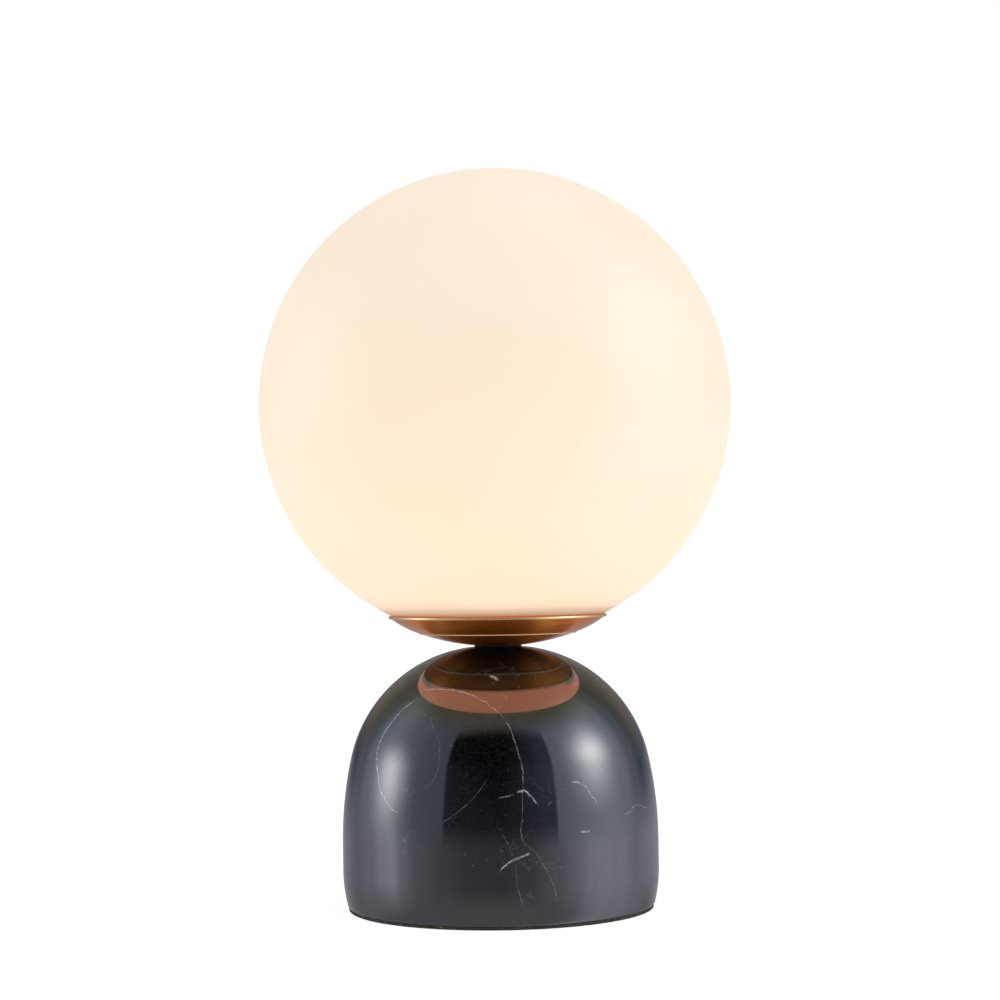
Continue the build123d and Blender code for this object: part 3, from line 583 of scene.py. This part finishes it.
def fitting_finishes():
    """Finish of every piece that keeps the shape it was built with."""
    black = ((0.016, 0.016, 0.017), (0.026, 0.025, 0.025))
    white = ((0.74, 0.74, 0.72), (0.80, 0.79, 0.76))
    steel = ((0.56, 0.57, 0.58), (0.66, 0.66, 0.65))
    zinc = ((0.60, 0.61, 0.60), (0.70, 0.68, 0.60))
    brass = ((0.70, 0.50, 0.22), (0.78, 0.58, 0.28))
    return {
        plated_steel("rolled_plate", *steel): ["cover_plate", "gallery_disc"],
        plated_steel("zinc_plate", *zinc): [
            "base_washer", "base_nut", "dish_washer", "dish_nut", "earth_tag",
        ],
        plated_steel("screw_steel", *steel, grain=(2.0, 2.0, 0.3)): [
            "cover_screws", "block_screws", "block_fixing", "terminal_screws",
        ],
        plated_steel("spring_steel", (0.62, 0.62, 0.60), (0.70, 0.68, 0.62), (0.16, 0.28)): [
            "glass_springs",
        ],
        turned_metal("turned_brass", *brass): [
            "stem_tube", "cover_inserts", "block_clamps", "centre_terminal", "shell_terminal",
            "holder_thread", "spring_rivets",
        ],
        turned_metal("bulb_nickel", (0.68, 0.67, 0.64), (0.76, 0.75, 0.72), (0.14, 0.26)): [
            "bulb_cap", "bulb_contact",
        ],
        moulded("gland_nylon", *black, grain=0.3, depth=0.02): ["gland_nut"],
        moulded("clear_silicone", (0.70, 0.69, 0.65), (0.76, 0.75, 0.71), (0.4, 0.55)): ["glass_gasket"],
        moulded("phenolic_black", *black, rough=(0.22, 0.36), grain=1.2): ["holder_cap", "holder_body"],
        moulded("glazed_ceramic", (0.80, 0.78, 0.73), (0.86, 0.84, 0.80), (0.12, 0.25), 2.0, 0.02): [
            "holder_core",
        ],
        moulded("cap_glass", (0.012, 0.012, 0.016), (0.02, 0.02, 0.024), (0.08, 0.16), 1.5): [
            "bulb_insulator",
        ],
        moulded("bulb_plastic", *white, rough=(0.28, 0.4), grain=0.4, depth=0.008): ["bulb_housing"],
        moulded("coated_board", (0.74, 0.74, 0.70), (0.80, 0.80, 0.77), (0.4, 0.55)): ["bulb_board"],
        moulded("green_board", (0.02, 0.13, 0.05), (0.03, 0.18, 0.08)): ["bulb_driver"],
        moulded("phosphor", (0.86, 0.66, 0.16), (0.90, 0.74, 0.24), (0.15, 0.25)): ["bulb_leds"],
        moulded("block_polyamide", (0.72, 0.70, 0.64), (0.78, 0.76, 0.71)): ["terminal_block"],
        moulded("brown_insulation", (0.10, 0.035, 0.012), (0.14, 0.05, 0.02)): ["live_lead"],
        moulded("blue_insulation", (0.01, 0.07, 0.36), (0.02, 0.10, 0.44)): ["neutral_lead"],
        earth_wire(): ["earth_lead"],
        glowing_cover(): ["bulb_envelope"],
    }


# ------------------------------------------------------------------ mesh helpers


def arc_points(centre, radius, start, end, steps):
    """Points of an arc in radius and height; angles are measured from the outward level."""
    angles = [start + (end - start) * k / steps for k in range(steps + 1)]
    return [(centre[0] + radius * cos(a), centre[1] + radius * sin(a)) for a in angles]


def circle_through(a, b, c):
    """Centre and radius of the circle through three points."""
    ax, ay, bx, by, cx, cy = *a, *b, *c
    d = 2 * (ax * (by - cy) + bx * (cy - ay) + cx * (ay - by))
    a2, b2, c2 = ax * ax + ay * ay, bx * bx + by * by, cx * cx + cy * cy
    x = (a2 * (by - cy) + b2 * (cy - ay) + c2 * (ay - by)) / d
    y = (a2 * (cx - bx) + b2 * (ax - cx) + c2 * (bx - ax)) / d
    return (x, y), hypot(ax - x, ay - y)


def arc_between(centre, start, end, steps):
    """Points of the shorter arc about centre from one point to another."""
    first = atan2(start[1] - centre[1], start[0] - centre[0])
    turned = atan2(end[1] - centre[1], end[0] - centre[0]) - first
    turned = (turned + pi) % tau - pi
    radius = hypot(start[0] - centre[0], start[1] - centre[1])
    return arc_points(centre, radius, first, first + turned, steps)


def spun(outline, sides, closed=True):
    """Shape turned about the lamp's axis from an outline of (radius, height) points."""
    shape = bmesh.new()
    corners = [shape.verts.new((radius, 0, height)) for radius, height in outline]
    pairs = list(zip(corners, corners[1:])) + ([(corners[-1], corners[0])] if closed else [])
    sides_of_outline = [shape.edges.new(pair) for pair in pairs]
    bmesh.ops.spin(
        shape, geom=corners + sides_of_outline, cent=(0, 0, 0), axis=axis_up, angle=tau,
        steps=sides, use_merge=True, use_duplicate=False,
    )
    bmesh.ops.remove_doubles(shape, verts=shape.verts, dist=0.002 * mm)
    bmesh.ops.recalc_face_normals(shape, faces=shape.faces)
    return shape


def piece(name, shape, material, body, replaced, crease=usual_crease):
    """Object from a finished shape, which stands for the nodes that it replaces."""
    mesh = bpy.data.meshes.new(name)
    shape.to_mesh(mesh)
    shape.free()
    mesh.shade_smooth()
    mesh.set_sharp_from_angle(angle=radians(crease))
    mesh.materials.append(material)
    made = bpy.data.objects.new(name, mesh)
    bpy.context.scene.collection.objects.link(made)
    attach(made, body)
    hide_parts(*replaced)
    return made


def cut(made, cutters):
    """Take cutter shapes away from a piece for good."""
    for shape in cutters:
        mesh = bpy.data.meshes.new("cutter")
        shape.to_mesh(mesh)
        shape.free()
        tool = bpy.data.objects.new("cutter", mesh)
        bpy.context.scene.collection.objects.link(tool)
        boolean = made.modifiers.new("cut", "BOOLEAN")
        boolean.object = tool
        boolean.solver = "EXACT"
        bpy.context.view_layer.update()
        graph = bpy.context.evaluated_depsgraph_get()
        result = bpy.data.meshes.new_from_object(made.evaluated_get(graph))
        made.modifiers.remove(boolean)
        old = made.data
        result.name = old.name
        made.data = result
        bpy.data.meshes.remove(old)
        bpy.data.objects.remove(tool)
        bpy.data.meshes.remove(mesh)
    made.data.shade_smooth()
    made.data.set_sharp_from_angle(angle=radians(usual_crease))


def drill(radius, start, end, sides=96):
    """Straight cutter between two points."""
    start, end = Vector(start), Vector(end)
    way = end - start
    shape = bmesh.new()
    place = Matrix.Translation((start + end) / 2) @ way.to_track_quat("Z", "Y").to_matrix().to_4x4()
    bmesh.ops.create_cone(
        shape, cap_ends=True, segments=sides, radius1=radius, radius2=radius,
        depth=way.length, matrix=place,
    )
    return shape


# ------------------------------------------------------------------ outlines


def marble_outline(sizes):
    """Dome, foot, rebate, chamber and bore of the marble."""
    shoulder, flank, slope = sizes.shoulder_radius, sizes.flank_radius, sizes.flank_slope
    top, bottom = marble_box[1].z, marble_box[0].z
    shoulder_x = sizes.base_radius - flank + (flank - shoulder) * sin(slope)
    crown = asin((sizes.seat_radius - shoulder_x) / shoulder)
    shoulder_centre = (shoulder_x, top - shoulder * cos(crown))
    flank_centre = (sizes.base_radius - flank, shoulder_centre[1] - (flank - shoulder) * cos(slope))
    foot_centre = (sizes.base_radius - sizes.foot_radius, sizes.foot_height)
    edge_break = 0.4 * mm
    foot_end = -asin((sizes.foot_height - bottom - edge_break) / sizes.foot_radius)
    outer = arc_points(shoulder_centre, shoulder, pi / 2 - crown, pi / 2 - slope, 72)
    outer += arc_points(flank_centre, flank, pi / 2 - slope, 0, 24)[1:]
    outer += [(sizes.base_radius, (flank_centre[1] + sizes.foot_height) / 2)]
    outer += arc_points(foot_centre, sizes.foot_radius, 0, foot_end, 16)
    foot_x = outer[-1][0]
    bore, recess, ceiling = 5.5 * mm, 42 * mm, 29 * mm
    rebate, ledge = 54.2 * mm, 3.5 * mm
    inner = [
        (foot_x - edge_break, bottom), (rebate, bottom), (rebate, ledge), (recess, ledge),
        (recess, ceiling), (bore, ceiling), (bore, top - edge_break), (bore + edge_break, top),
    ]
    return outer + inner


def dish_outline(sizes):
    """Bowl with a raised line and a rolled rim, from the hole round to the inside."""
    floor = dish_box[0].z
    hole, flat = 5.2 * mm, 11 * mm
    bulge, line = (23 * mm, floor + 2.05 * mm), (33 * mm, floor + 5.05 * mm)
    flare, edge = (40 * mm, floor + 8.1 * mm), (45.4 * mm, floor + 11.6 * mm)
    rim = (45.7 * mm, floor + 12.05 * mm)
    wall = sizes.dish_wall
    low_centre, low_radius = circle_through((flat, floor), bulge, line)
    high_centre, high_radius = circle_through(line, flare, edge)
    lower = arc_between(low_centre, (flat, floor), line, 40)
    upper = arc_between(high_centre, line, edge, 30)

    def inwards(points, centre, radius):
        part = wall / radius
        return [(x + part * (centre[0] - x), y + part * (centre[1] - y)) for x, y in points]

    def clear_of(points, centre, radius):
        return [p for p in points if hypot(p[0] - centre[0], p[1] - centre[1]) > radius * 1.02]

    # Line and rim are beads that run into the sheet, so the sheet's own points give way to them.
    bead = (line[0], line[1] + 0.2 * mm)
    before = clear_of(lower, bead, sizes.line_bead)
    after = clear_of(clear_of(upper, bead, sizes.line_bead), rim, sizes.rim_bead)
    ring = arc_points(bead, sizes.line_bead, -pi / 2 - 1.10, -pi / 2 + 1.35, 12)
    inner_low = inwards(lower, low_centre, low_radius)
    inner_high = clear_of(inwards(upper, high_centre, high_radius), rim, sizes.rim_bead)
    rolled = arc_points(rim, sizes.rim_bead, -2.35, 2.45, 20)
    inside = inner_high[::-1] + inner_low[::-1]
    return [(hole, floor)] + before + ring + after + rolled + inside + [(hole, floor + wall)]


def globe_outline(sizes):
    """Outer skin from the crown down to the lip, and the inner skin back up."""
    centre = (0, globe_box[1].z - sizes.globe_radius)
    outside, inside, lip = sizes.globe_radius, sizes.globe_radius - sizes.glass_wall, sizes.lip_round
    mouth = sizes.mouth_radius + lip

    def rounded(radius, side):
        """Centre of the round between the mouth and a skin, and where it leaves the skin."""
        reach = radius - side * lip
        centre_round = (mouth, centre[1] - sqrt(reach**2 - mouth**2))
        angle = atan2(centre_round[1] - centre[1], centre_round[0])
        return centre_round, angle

    outer_round, outer_angle = rounded(outside, 1)
    inner_round, inner_angle = rounded(inside, -1)
    outline = arc_points(centre, outside, pi / 2, outer_angle, 110)
    outline += arc_points(outer_round, lip, outer_angle, -pi, 8)[1:]
    outline += arc_points(inner_round, lip, -pi, inner_angle - pi, 8)
    outline += arc_points(centre, inside, inner_angle, pi / 2, 80)[1:]
    return outline


# ------------------------------------------------------------------ operators


class Builds:
    """What every operator here shares."""

    bl_options = {"REGISTER", "UNDO"}

    def execute(self, context):
        scene = context.scene
        self.make(scene.lamp_sizes, scene.lamp_colours, scene.lamp_studio)
        return {"FINISHED"}


class LAMP_OT_marble(Builds, bpy.types.Operator):
    """Turn the marble base and drill it for the cord outlet and the cover screws"""

    bl_idname = "lamp.marble"
    bl_label = "Marble base"

    def make(self, sizes, colours, studio):
        base = piece(
            "marble_dome", spun(marble_outline(sizes), sizes.turned_sides), polished_marble(colours),
            "base", ["marble_base"],
        )
        # Way of the cord, seat of the bushing's flange and seat of its nut, all at the back.
        passage, flange_seat, nut_seat = 6.1 * mm, 9 * mm, 10.2 * mm
        chamber, nut_end, outside = 30 * mm, 43 * mm, 80 * mm
        cutters = [
            drill(passage, (0, chamber, cord_height), (0, outside, cord_height)),
            drill(flange_seat, (0, cord_seat, cord_height), (0, outside, cord_height)),
            drill(nut_seat, (0, chamber, cord_height), (0, nut_end, cord_height)),
        ]
        screw_circle, hole, depth = 48 * mm, 2.5 * mm, 11 * mm
        for degree in (30, 150, 270):
            x, y = screw_circle * cos(radians(degree)), screw_circle * sin(radians(degree))
            cutters.append(drill(hole, (x, y, 0), (x, y, depth), 32))
        cut(base, cutters)


class LAMP_OT_felt(Builds, bpy.types.Operator):
    """Cut the felt pad, with a slightly frayed edge"""

    bl_idname = "lamp.felt"
    bl_label = "Felt pad"

    def make(self, sizes, colours, studio):
        low, high = felt_box
        radius, soft = high.x, 0.35 * mm
        fray, fibre_size = 0.0045, 0.8 * mm
        outline = [(0, low.z), (radius * 0.5, low.z), (radius - 2 * soft, low.z)]
        outline += arc_points((radius - soft, low.z + soft), soft, -pi / 2, 0, 4)
        outline += arc_points((radius - soft, high.z - soft), soft, 0, pi / 2, 4)
        outline += [(radius - 2 * soft, high.z), (radius * 0.5, high.z), (0, high.z)]
        shape = spun(outline, 480, closed=False)
        for vert in shape.verts:
            reach = hypot(vert.co.x, vert.co.y)
            if reach > radius - 2.5 * soft:
                frayed = 1 - fray * (1 + noise.fractal(vert.co / fibre_size, 0.6, 2.0, 3))
                vert.co.x *= frayed
                vert.co.y *= frayed
        piece("felt_disc", shape, pressed_felt(colours), "base", ["felt_pad"], crease=60)


class LAMP_OT_dish(Builds, bpy.types.Operator):
    """Spin the brass dish with its raised line and rolled rim"""

    bl_idname = "lamp.dish"
    bl_label = "Brass dish"

    def make(self, sizes, colours, studio):
        shape = spun(dish_outline(sizes), sizes.turned_sides)
        piece("brass_dish", shape, brushed_dish(colours), "base", ["dish"], crease=30)


class LAMP_OT_neck(Builds, bpy.types.Operator):
    """Cut the fibre washer between the marble and the dish"""

    bl_idname = "lamp.neck"
    bl_label = "Neck washer"

    def make(self, sizes, colours, studio):
        low, high = spacer_box
        inner, outer, soft = 5.2 * mm, high.x, 0.15 * mm
        outline = [(inner, low.z), (outer - soft, low.z)]
        outline += arc_points((outer - soft, low.z + soft), soft, -pi / 2, 0, 4)
        outline += arc_points((outer - soft, high.z - soft), soft, 0, pi / 2, 4)
        outline += [(inner, high.z)]
        fibre = moulded(
            "vulcan_fibre", (0.012, 0.011, 0.010), (0.02, 0.018, 0.016), (0.7, 0.9), 0.25, 0.03
        )
        piece("neck_washer", spun(outline, 96), fibre, "base", ["neck_spacer"])


class LAMP_OT_globe(Builds, bpy.types.Operator):
    """Blow the opal globe, with a rounded lip round its mouth"""

    bl_idname = "lamp.globe"
    bl_label = "Opal globe"

    def make(self, sizes, colours, studio):
        shape = spun(globe_outline(sizes), sizes.turned_sides, closed=False)
        piece("opal_globe", shape, opal_glass(colours), "globe", ["glass_globe"], crease=50)


class LAMP_OT_gland(Builds, bpy.types.Operator):
    """Turn the cord bushing at the back"""

    bl_idname = "lamp.gland"
    bl_label = "Cord bushing"

    def make(self, sizes, colours, studio):
        tail, nose = gland_box[0].y, gland_box[1].y
        bore, shank, flange = 3.5 * mm, 6 * mm, gland_box[1].x
        rim, flange_top = 0.4 * mm, 67 * mm
        nose_radius = bore + 1.4 * mm
        outline = [(bore, tail + rim)]
        outline += arc_points((bore + rim, tail + rim), rim, -pi, -pi / 2, 4)[1:]
        outline += arc_points((shank - rim, tail + rim), rim, -pi / 2, 0, 4)
        outline += [(shank, cord_seat), (flange, cord_seat)]
        outline += arc_points((flange - rim, flange_top), rim, 0, pi / 2, 5)
        outline += arc_points((nose_radius, nose - rim), rim, 0.6, pi / 2, 4)
        outline += arc_points((bore + rim, nose - rim), rim, pi / 2, pi, 4)
        shape = spun(outline, 96)
        backwards = Matrix.Rotation(-pi / 2, 3, "X")
        bmesh.ops.rotate(shape, cent=(0, 0, 0), matrix=backwards, verts=shape.verts)
        bmesh.ops.translate(shape, vec=(0, 0, cord_height), verts=shape.verts)
        nylon = moulded(
            "bushing_nylon", (0.016, 0.016, 0.017), (0.024, 0.024, 0.025), (0.38, 0.5), 0.3, 0.02
        )
        piece("cord_bushing", shape, nylon, "base", ["cable_gland"])


class LAMP_OT_fittings(Builds, bpy.types.Operator):
    """Finish the fittings that keep the shape they were built with"""

    bl_idname = "lamp.fittings"
    bl_label = "Fittings"

    def make(self, sizes, colours, studio):
        for material, names in fitting_finishes().items():
            for name in names:
                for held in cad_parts[name].material_slots:
                    held.material = material


# ------------------------------------------------------------------ studio


# Brightness by direction, in degrees from the front to the right. Only reflections see it.
wall_levels = (
    (-180, 0.20), (-150, 0.13), (-131, 0.38), (-118, 0.75), (-105, 0.92), (-78, 0.66),
    (-62, 0.50), (-45, 0.44), (45, 0.78), (60, 0.93), (92, 1.08), (107, 0.90), (122, 0.46),
    (135, 0.22), (180, 0.20),
)
floor_levels = (
    (-180, 0.35), (-130, 0.50), (-107, 0.80), (-95, 1.15), (-85, 1.42), (-74, 0.92),
    (-62, 0.58), (-42, 0.37), (-22, 0.25), (0, 0.22), (19, 0.30), (41, 0.62), (55, 0.95),
    (68, 1.35), (80, 1.40), (95, 1.22), (117, 0.78), (180, 0.35),
)
screen_levels = (
    (-43, 0.10), (-27, 0.055), (-10, 0.022), (3, 0.018), (12, 0.06), (22, 0.14), (34, 0.22),
    (43, 0.25),
)
wall_tint, ceiling, far_wall = (0.86, 0.98, 1.20), (0.42, 0.38, 0.33), (0.35, 0.30, 0.25)
floor_tint, near_floor, far_floor = (0.96, 0.97, 1.16), (0.49, 0.48, 0.51), (0.38, 0.375, 0.385)
screen_tint, screen_foot = (0.82, 0.95, 1.32), (0.10, 0.11, 0.15)
# Lamps in the reflections: direction and height, width and tallness in degrees, and strength.
seen_lamps = ((-91.5, 11, 9.0, 7.2, 3.4), (79, 22.5, 11.0, 8.5, 4.8))


def studio_light(paint):
    """What polished surfaces see: pale walls, a paler floor, a dark screen and two soft lamps."""
    x, y, z = paint.split(paint.add("ShaderNodeTexCoord").outputs["Generated"])
    around = paint.from_front(x, y)
    above = paint.math("DEGREES", paint.math("ARCSINE", z))
    side = paint.math("ABSOLUTE", around)

    def levels(stops, tint):
        low, high = stops[0][0], stops[-1][0]
        placed = [((a - low) / (high - low), tuple(level * t for t in tint)) for a, level in stops]
        return paint.ramp(paint.remap(around, low, high), placed, "EASE")

    wall = levels(wall_levels, wall_tint)
    # Higher up and towards the back the walls are painted warmer: painted glow of the globe's light on
    # ceiling and far walls.
    wall = paint.mix(paint.remap(above, 38, 60, soft=True), wall, ceiling)
    far = paint.product(paint.remap(side, 120, 150), paint.remap(above, 3, 14))
    wall = paint.mix(far, wall, far_wall)

    floor = levels(floor_levels, floor_tint)
    # Close under the lamp the drawn floor is darker: painted shadow of the lamp on the table.
    near = paint.product(paint.remap(above, -7, -27), paint.remap(around, 35, 75, 1.0, 0.3))
    floor = paint.mix(near, floor, near_floor)
    behind = paint.product(paint.remap(side, 115, 140), paint.remap(above, -6, -16))
    floor = paint.mix(behind, floor, far_floor)

    screen = levels(screen_levels, screen_tint)
    topmost = paint.remap(above, 14, 30, 0.0, 0.75, soft=True)
    topmost = paint.product(topmost, paint.remap(around, 5, 35, 1.0, 0.3))
    screen = paint.mix(topmost, screen, (0, 0, 0))
    foot = paint.remap(above, 2, 18, 0.45, 0.0, soft=True)
    screen = paint.mix(foot, screen, screen_foot)
    edge = screen_levels[-1][0]
    arched = paint.plus(above, paint.product(side, side, 0.004))
    within = paint.remap(side, edge, edge - 2.5, soft=True)
    within = paint.product(within, paint.remap(arched, 60, 45, soft=True))
    wall = paint.mix(within, wall, screen)
    seen = paint.mix(paint.remap(above, -7.0, 3.5, soft=True), floor, wall)

    def lamp(direction, rise, wide, tall, strength):
        across = paint.math("DIVIDE", paint.math("SUBTRACT", around, direction), wide)
        up = paint.math("DIVIDE", paint.math("SUBTRACT", above, rise), tall)
        square = paint.plus(paint.product(across, across), paint.product(up, up))
        return paint.product(paint.math("EXPONENT", paint.product(square, -0.5)), strength)

    left, right = (lamp(*values) for values in seen_lamps)
    lamps = paint.plus(left, right)
    return paint.mix(1.0, seen, paint.join(lamps, lamps, lamps), "ADD")


def studio_world(studio):
    """White for the camera, even grey as a light, and the drawn studio for reflections."""
    world = bpy.data.worlds.new("studio")
    bpy.context.scene.world = world
    paint = Paint(world)
    path = paint.add("ShaderNodeLightPath").outputs

    def light(shade, strength):
        return paint.add("ShaderNodeBackground", {"Color": shade, "Strength": strength}).outputs[0]

    plain, white = light((1, 1, 1), studio.sky), light((1, 1, 1), 1.0)
    seen = light(studio_light(paint), 1.0)
    direct = paint.math("MAXIMUM", path["Is Camera Ray"], path["Is Transmission Ray"])
    first = paint.add("ShaderNodeMixShader", {0: path["Is Glossy Ray"], 1: plain, 2: seen})
    second = paint.add("ShaderNodeMixShader", {0: direct, 1: first.outputs[0], 2: white})
    paint.add("ShaderNodeOutputWorld", {"Surface": second.outputs[0]})


def pale_floor(studio):
    """Floor that the camera sees as nearly white and that can't be seen from below."""
    shape = bmesh.new()
    place = Matrix.Translation((0, 0, -floor_gap))
    bmesh.ops.create_grid(shape, x_segments=8, y_segments=8, size=6.0, matrix=place)
    mesh = bpy.data.meshes.new("floor")
    shape.to_mesh(mesh)
    shape.free()
    floor = bpy.data.objects.new("floor", mesh)
    bpy.context.scene.collection.objects.link(floor)
    material, paint = new_paint("pale_floor")
    path = paint.add("ShaderNodeLightPath").outputs
    cloud = paint.noise(paint.place(), 0.2, 2.0)
    shade = paint.mix(cloud, (0.24, 0.24, 0.24), (0.25, 0.25, 0.25))
    matt = paint.add("ShaderNodeBsdfDiffuse", {"Color": shade, "Roughness": 1.0})
    glow = paint.add("ShaderNodeEmission", {"Color": (1, 1, 1), "Strength": studio.floor_glow})
    bright = paint.add("ShaderNodeBsdfDiffuse", {"Color": (0.8, 0.8, 0.8)})
    shown = paint.add("ShaderNodeAddShader", {0: matt.outputs[0], 1: glow.outputs[0]})
    inputs = {0: path["Is Camera Ray"], 1: bright.outputs[0], 2: shown.outputs[0]}
    mixed = paint.add("ShaderNodeMixShader", inputs)
    below = paint.add("ShaderNodeNewGeometry").outputs["Backfacing"]
    clear = paint.add("ShaderNodeBsdfTransparent")
    sided = paint.add("ShaderNodeMixShader", {0: below, 1: mixed.outputs[0], 2: clear.outputs[0]})
    paint.add("ShaderNodeOutputMaterial", {"Surface": sided.outputs[0]})
    mesh.materials.append(material)
    floor.visible_glossy = False


def soft_lamp(name, place, size, power):
    light = bpy.data.lights.new(name, "AREA")
    light.shape = "DISK"
    light.size = size
    light.energy = power
    lamp = bpy.data.objects.new(name, light)
    lamp.location = place
    lamp.rotation_euler = (Vector(lamp_aim) - Vector(place)).to_track_quat("-Z", "Y").to_euler()
    lamp.visible_glossy = False
    bpy.context.scene.collection.objects.link(lamp)


def photo_camera(studio):
    data = bpy.data.cameras.new("camera")
    data.lens = studio.lens
    data.sensor_width = 36
    data.clip_start, data.clip_end = 0.01, 50
    camera = bpy.data.objects.new("camera", data)
    camera.location = (studio.aside, -studio.distance, studio.height)
    level = Euler((pi / 2 + studio.pitch, 0, 0)).to_matrix()
    camera.rotation_euler = (level @ Matrix.Rotation(-studio.roll, 3, "Z")).to_euler()
    bpy.context.scene.collection.objects.link(camera)
    bpy.context.scene.camera = camera


class LAMP_OT_studio(Builds, bpy.types.Operator):
    """Lay the floor, hang the lamps and stand the camera"""

    bl_idname = "lamp.studio"
    bl_label = "Studio"

    def make(self, sizes, colours, studio):
        bpy.context.scene.view_settings.view_transform = "Standard"
        studio_world(studio)
        pale_floor(studio)
        soft_lamp("left_lamp", (-1.3, -0.5, 0.9), 0.9, 0.8 * studio.key)
        soft_lamp("right_lamp", (1.2, -0.7, 1.0), 0.9, 1.6 * studio.key)
        soft_lamp("top_lamp", (0, 0.2, 1.8), 1.2, studio.key)
        photo_camera(studio)


class LAMP_PT_panel(bpy.types.Panel):
    """Lists the lamp's pieces, sizes and colours"""

    bl_idname = "LAMP_PT_panel"
    bl_label = "Globe lamp"
    bl_space_type = "VIEW_3D"
    bl_region_type = "UI"
    bl_category = "Globe lamp"

    def draw(self, context):
        for step in steps:
            self.layout.operator(step.bl_idname)
        for group in (context.scene.lamp_sizes, context.scene.lamp_colours, context.scene.lamp_studio):
            column = self.layout.box().column()
            for name in group.__annotations__:
                column.prop(group, name)


steps = (
    LAMP_OT_studio, LAMP_OT_marble, LAMP_OT_felt, LAMP_OT_neck, LAMP_OT_dish, LAMP_OT_gland,
    LAMP_OT_fittings, LAMP_OT_globe,
)
classes = (LampSizes, LampColours, LampStudio, *steps, LAMP_PT_panel)


def register():
    for kind in classes:
        bpy.utils.register_class(kind)
    bpy.types.Scene.lamp_sizes = PointerProperty(type=LampSizes)
    bpy.types.Scene.lamp_colours = PointerProperty(type=LampColours)
    bpy.types.Scene.lamp_studio = PointerProperty(type=LampStudio)


def unregister():
    del bpy.types.Scene.lamp_studio
    del bpy.types.Scene.lamp_colours
    del bpy.types.Scene.lamp_sizes
    for kind in reversed(classes):
        bpy.utils.unregister_class(kind)


def main():
    register()
    for step in steps:
        group, name = step.bl_idname.split(".")
        getattr(getattr(bpy.ops, group), name)()


if __name__ == "__main__":
    main()
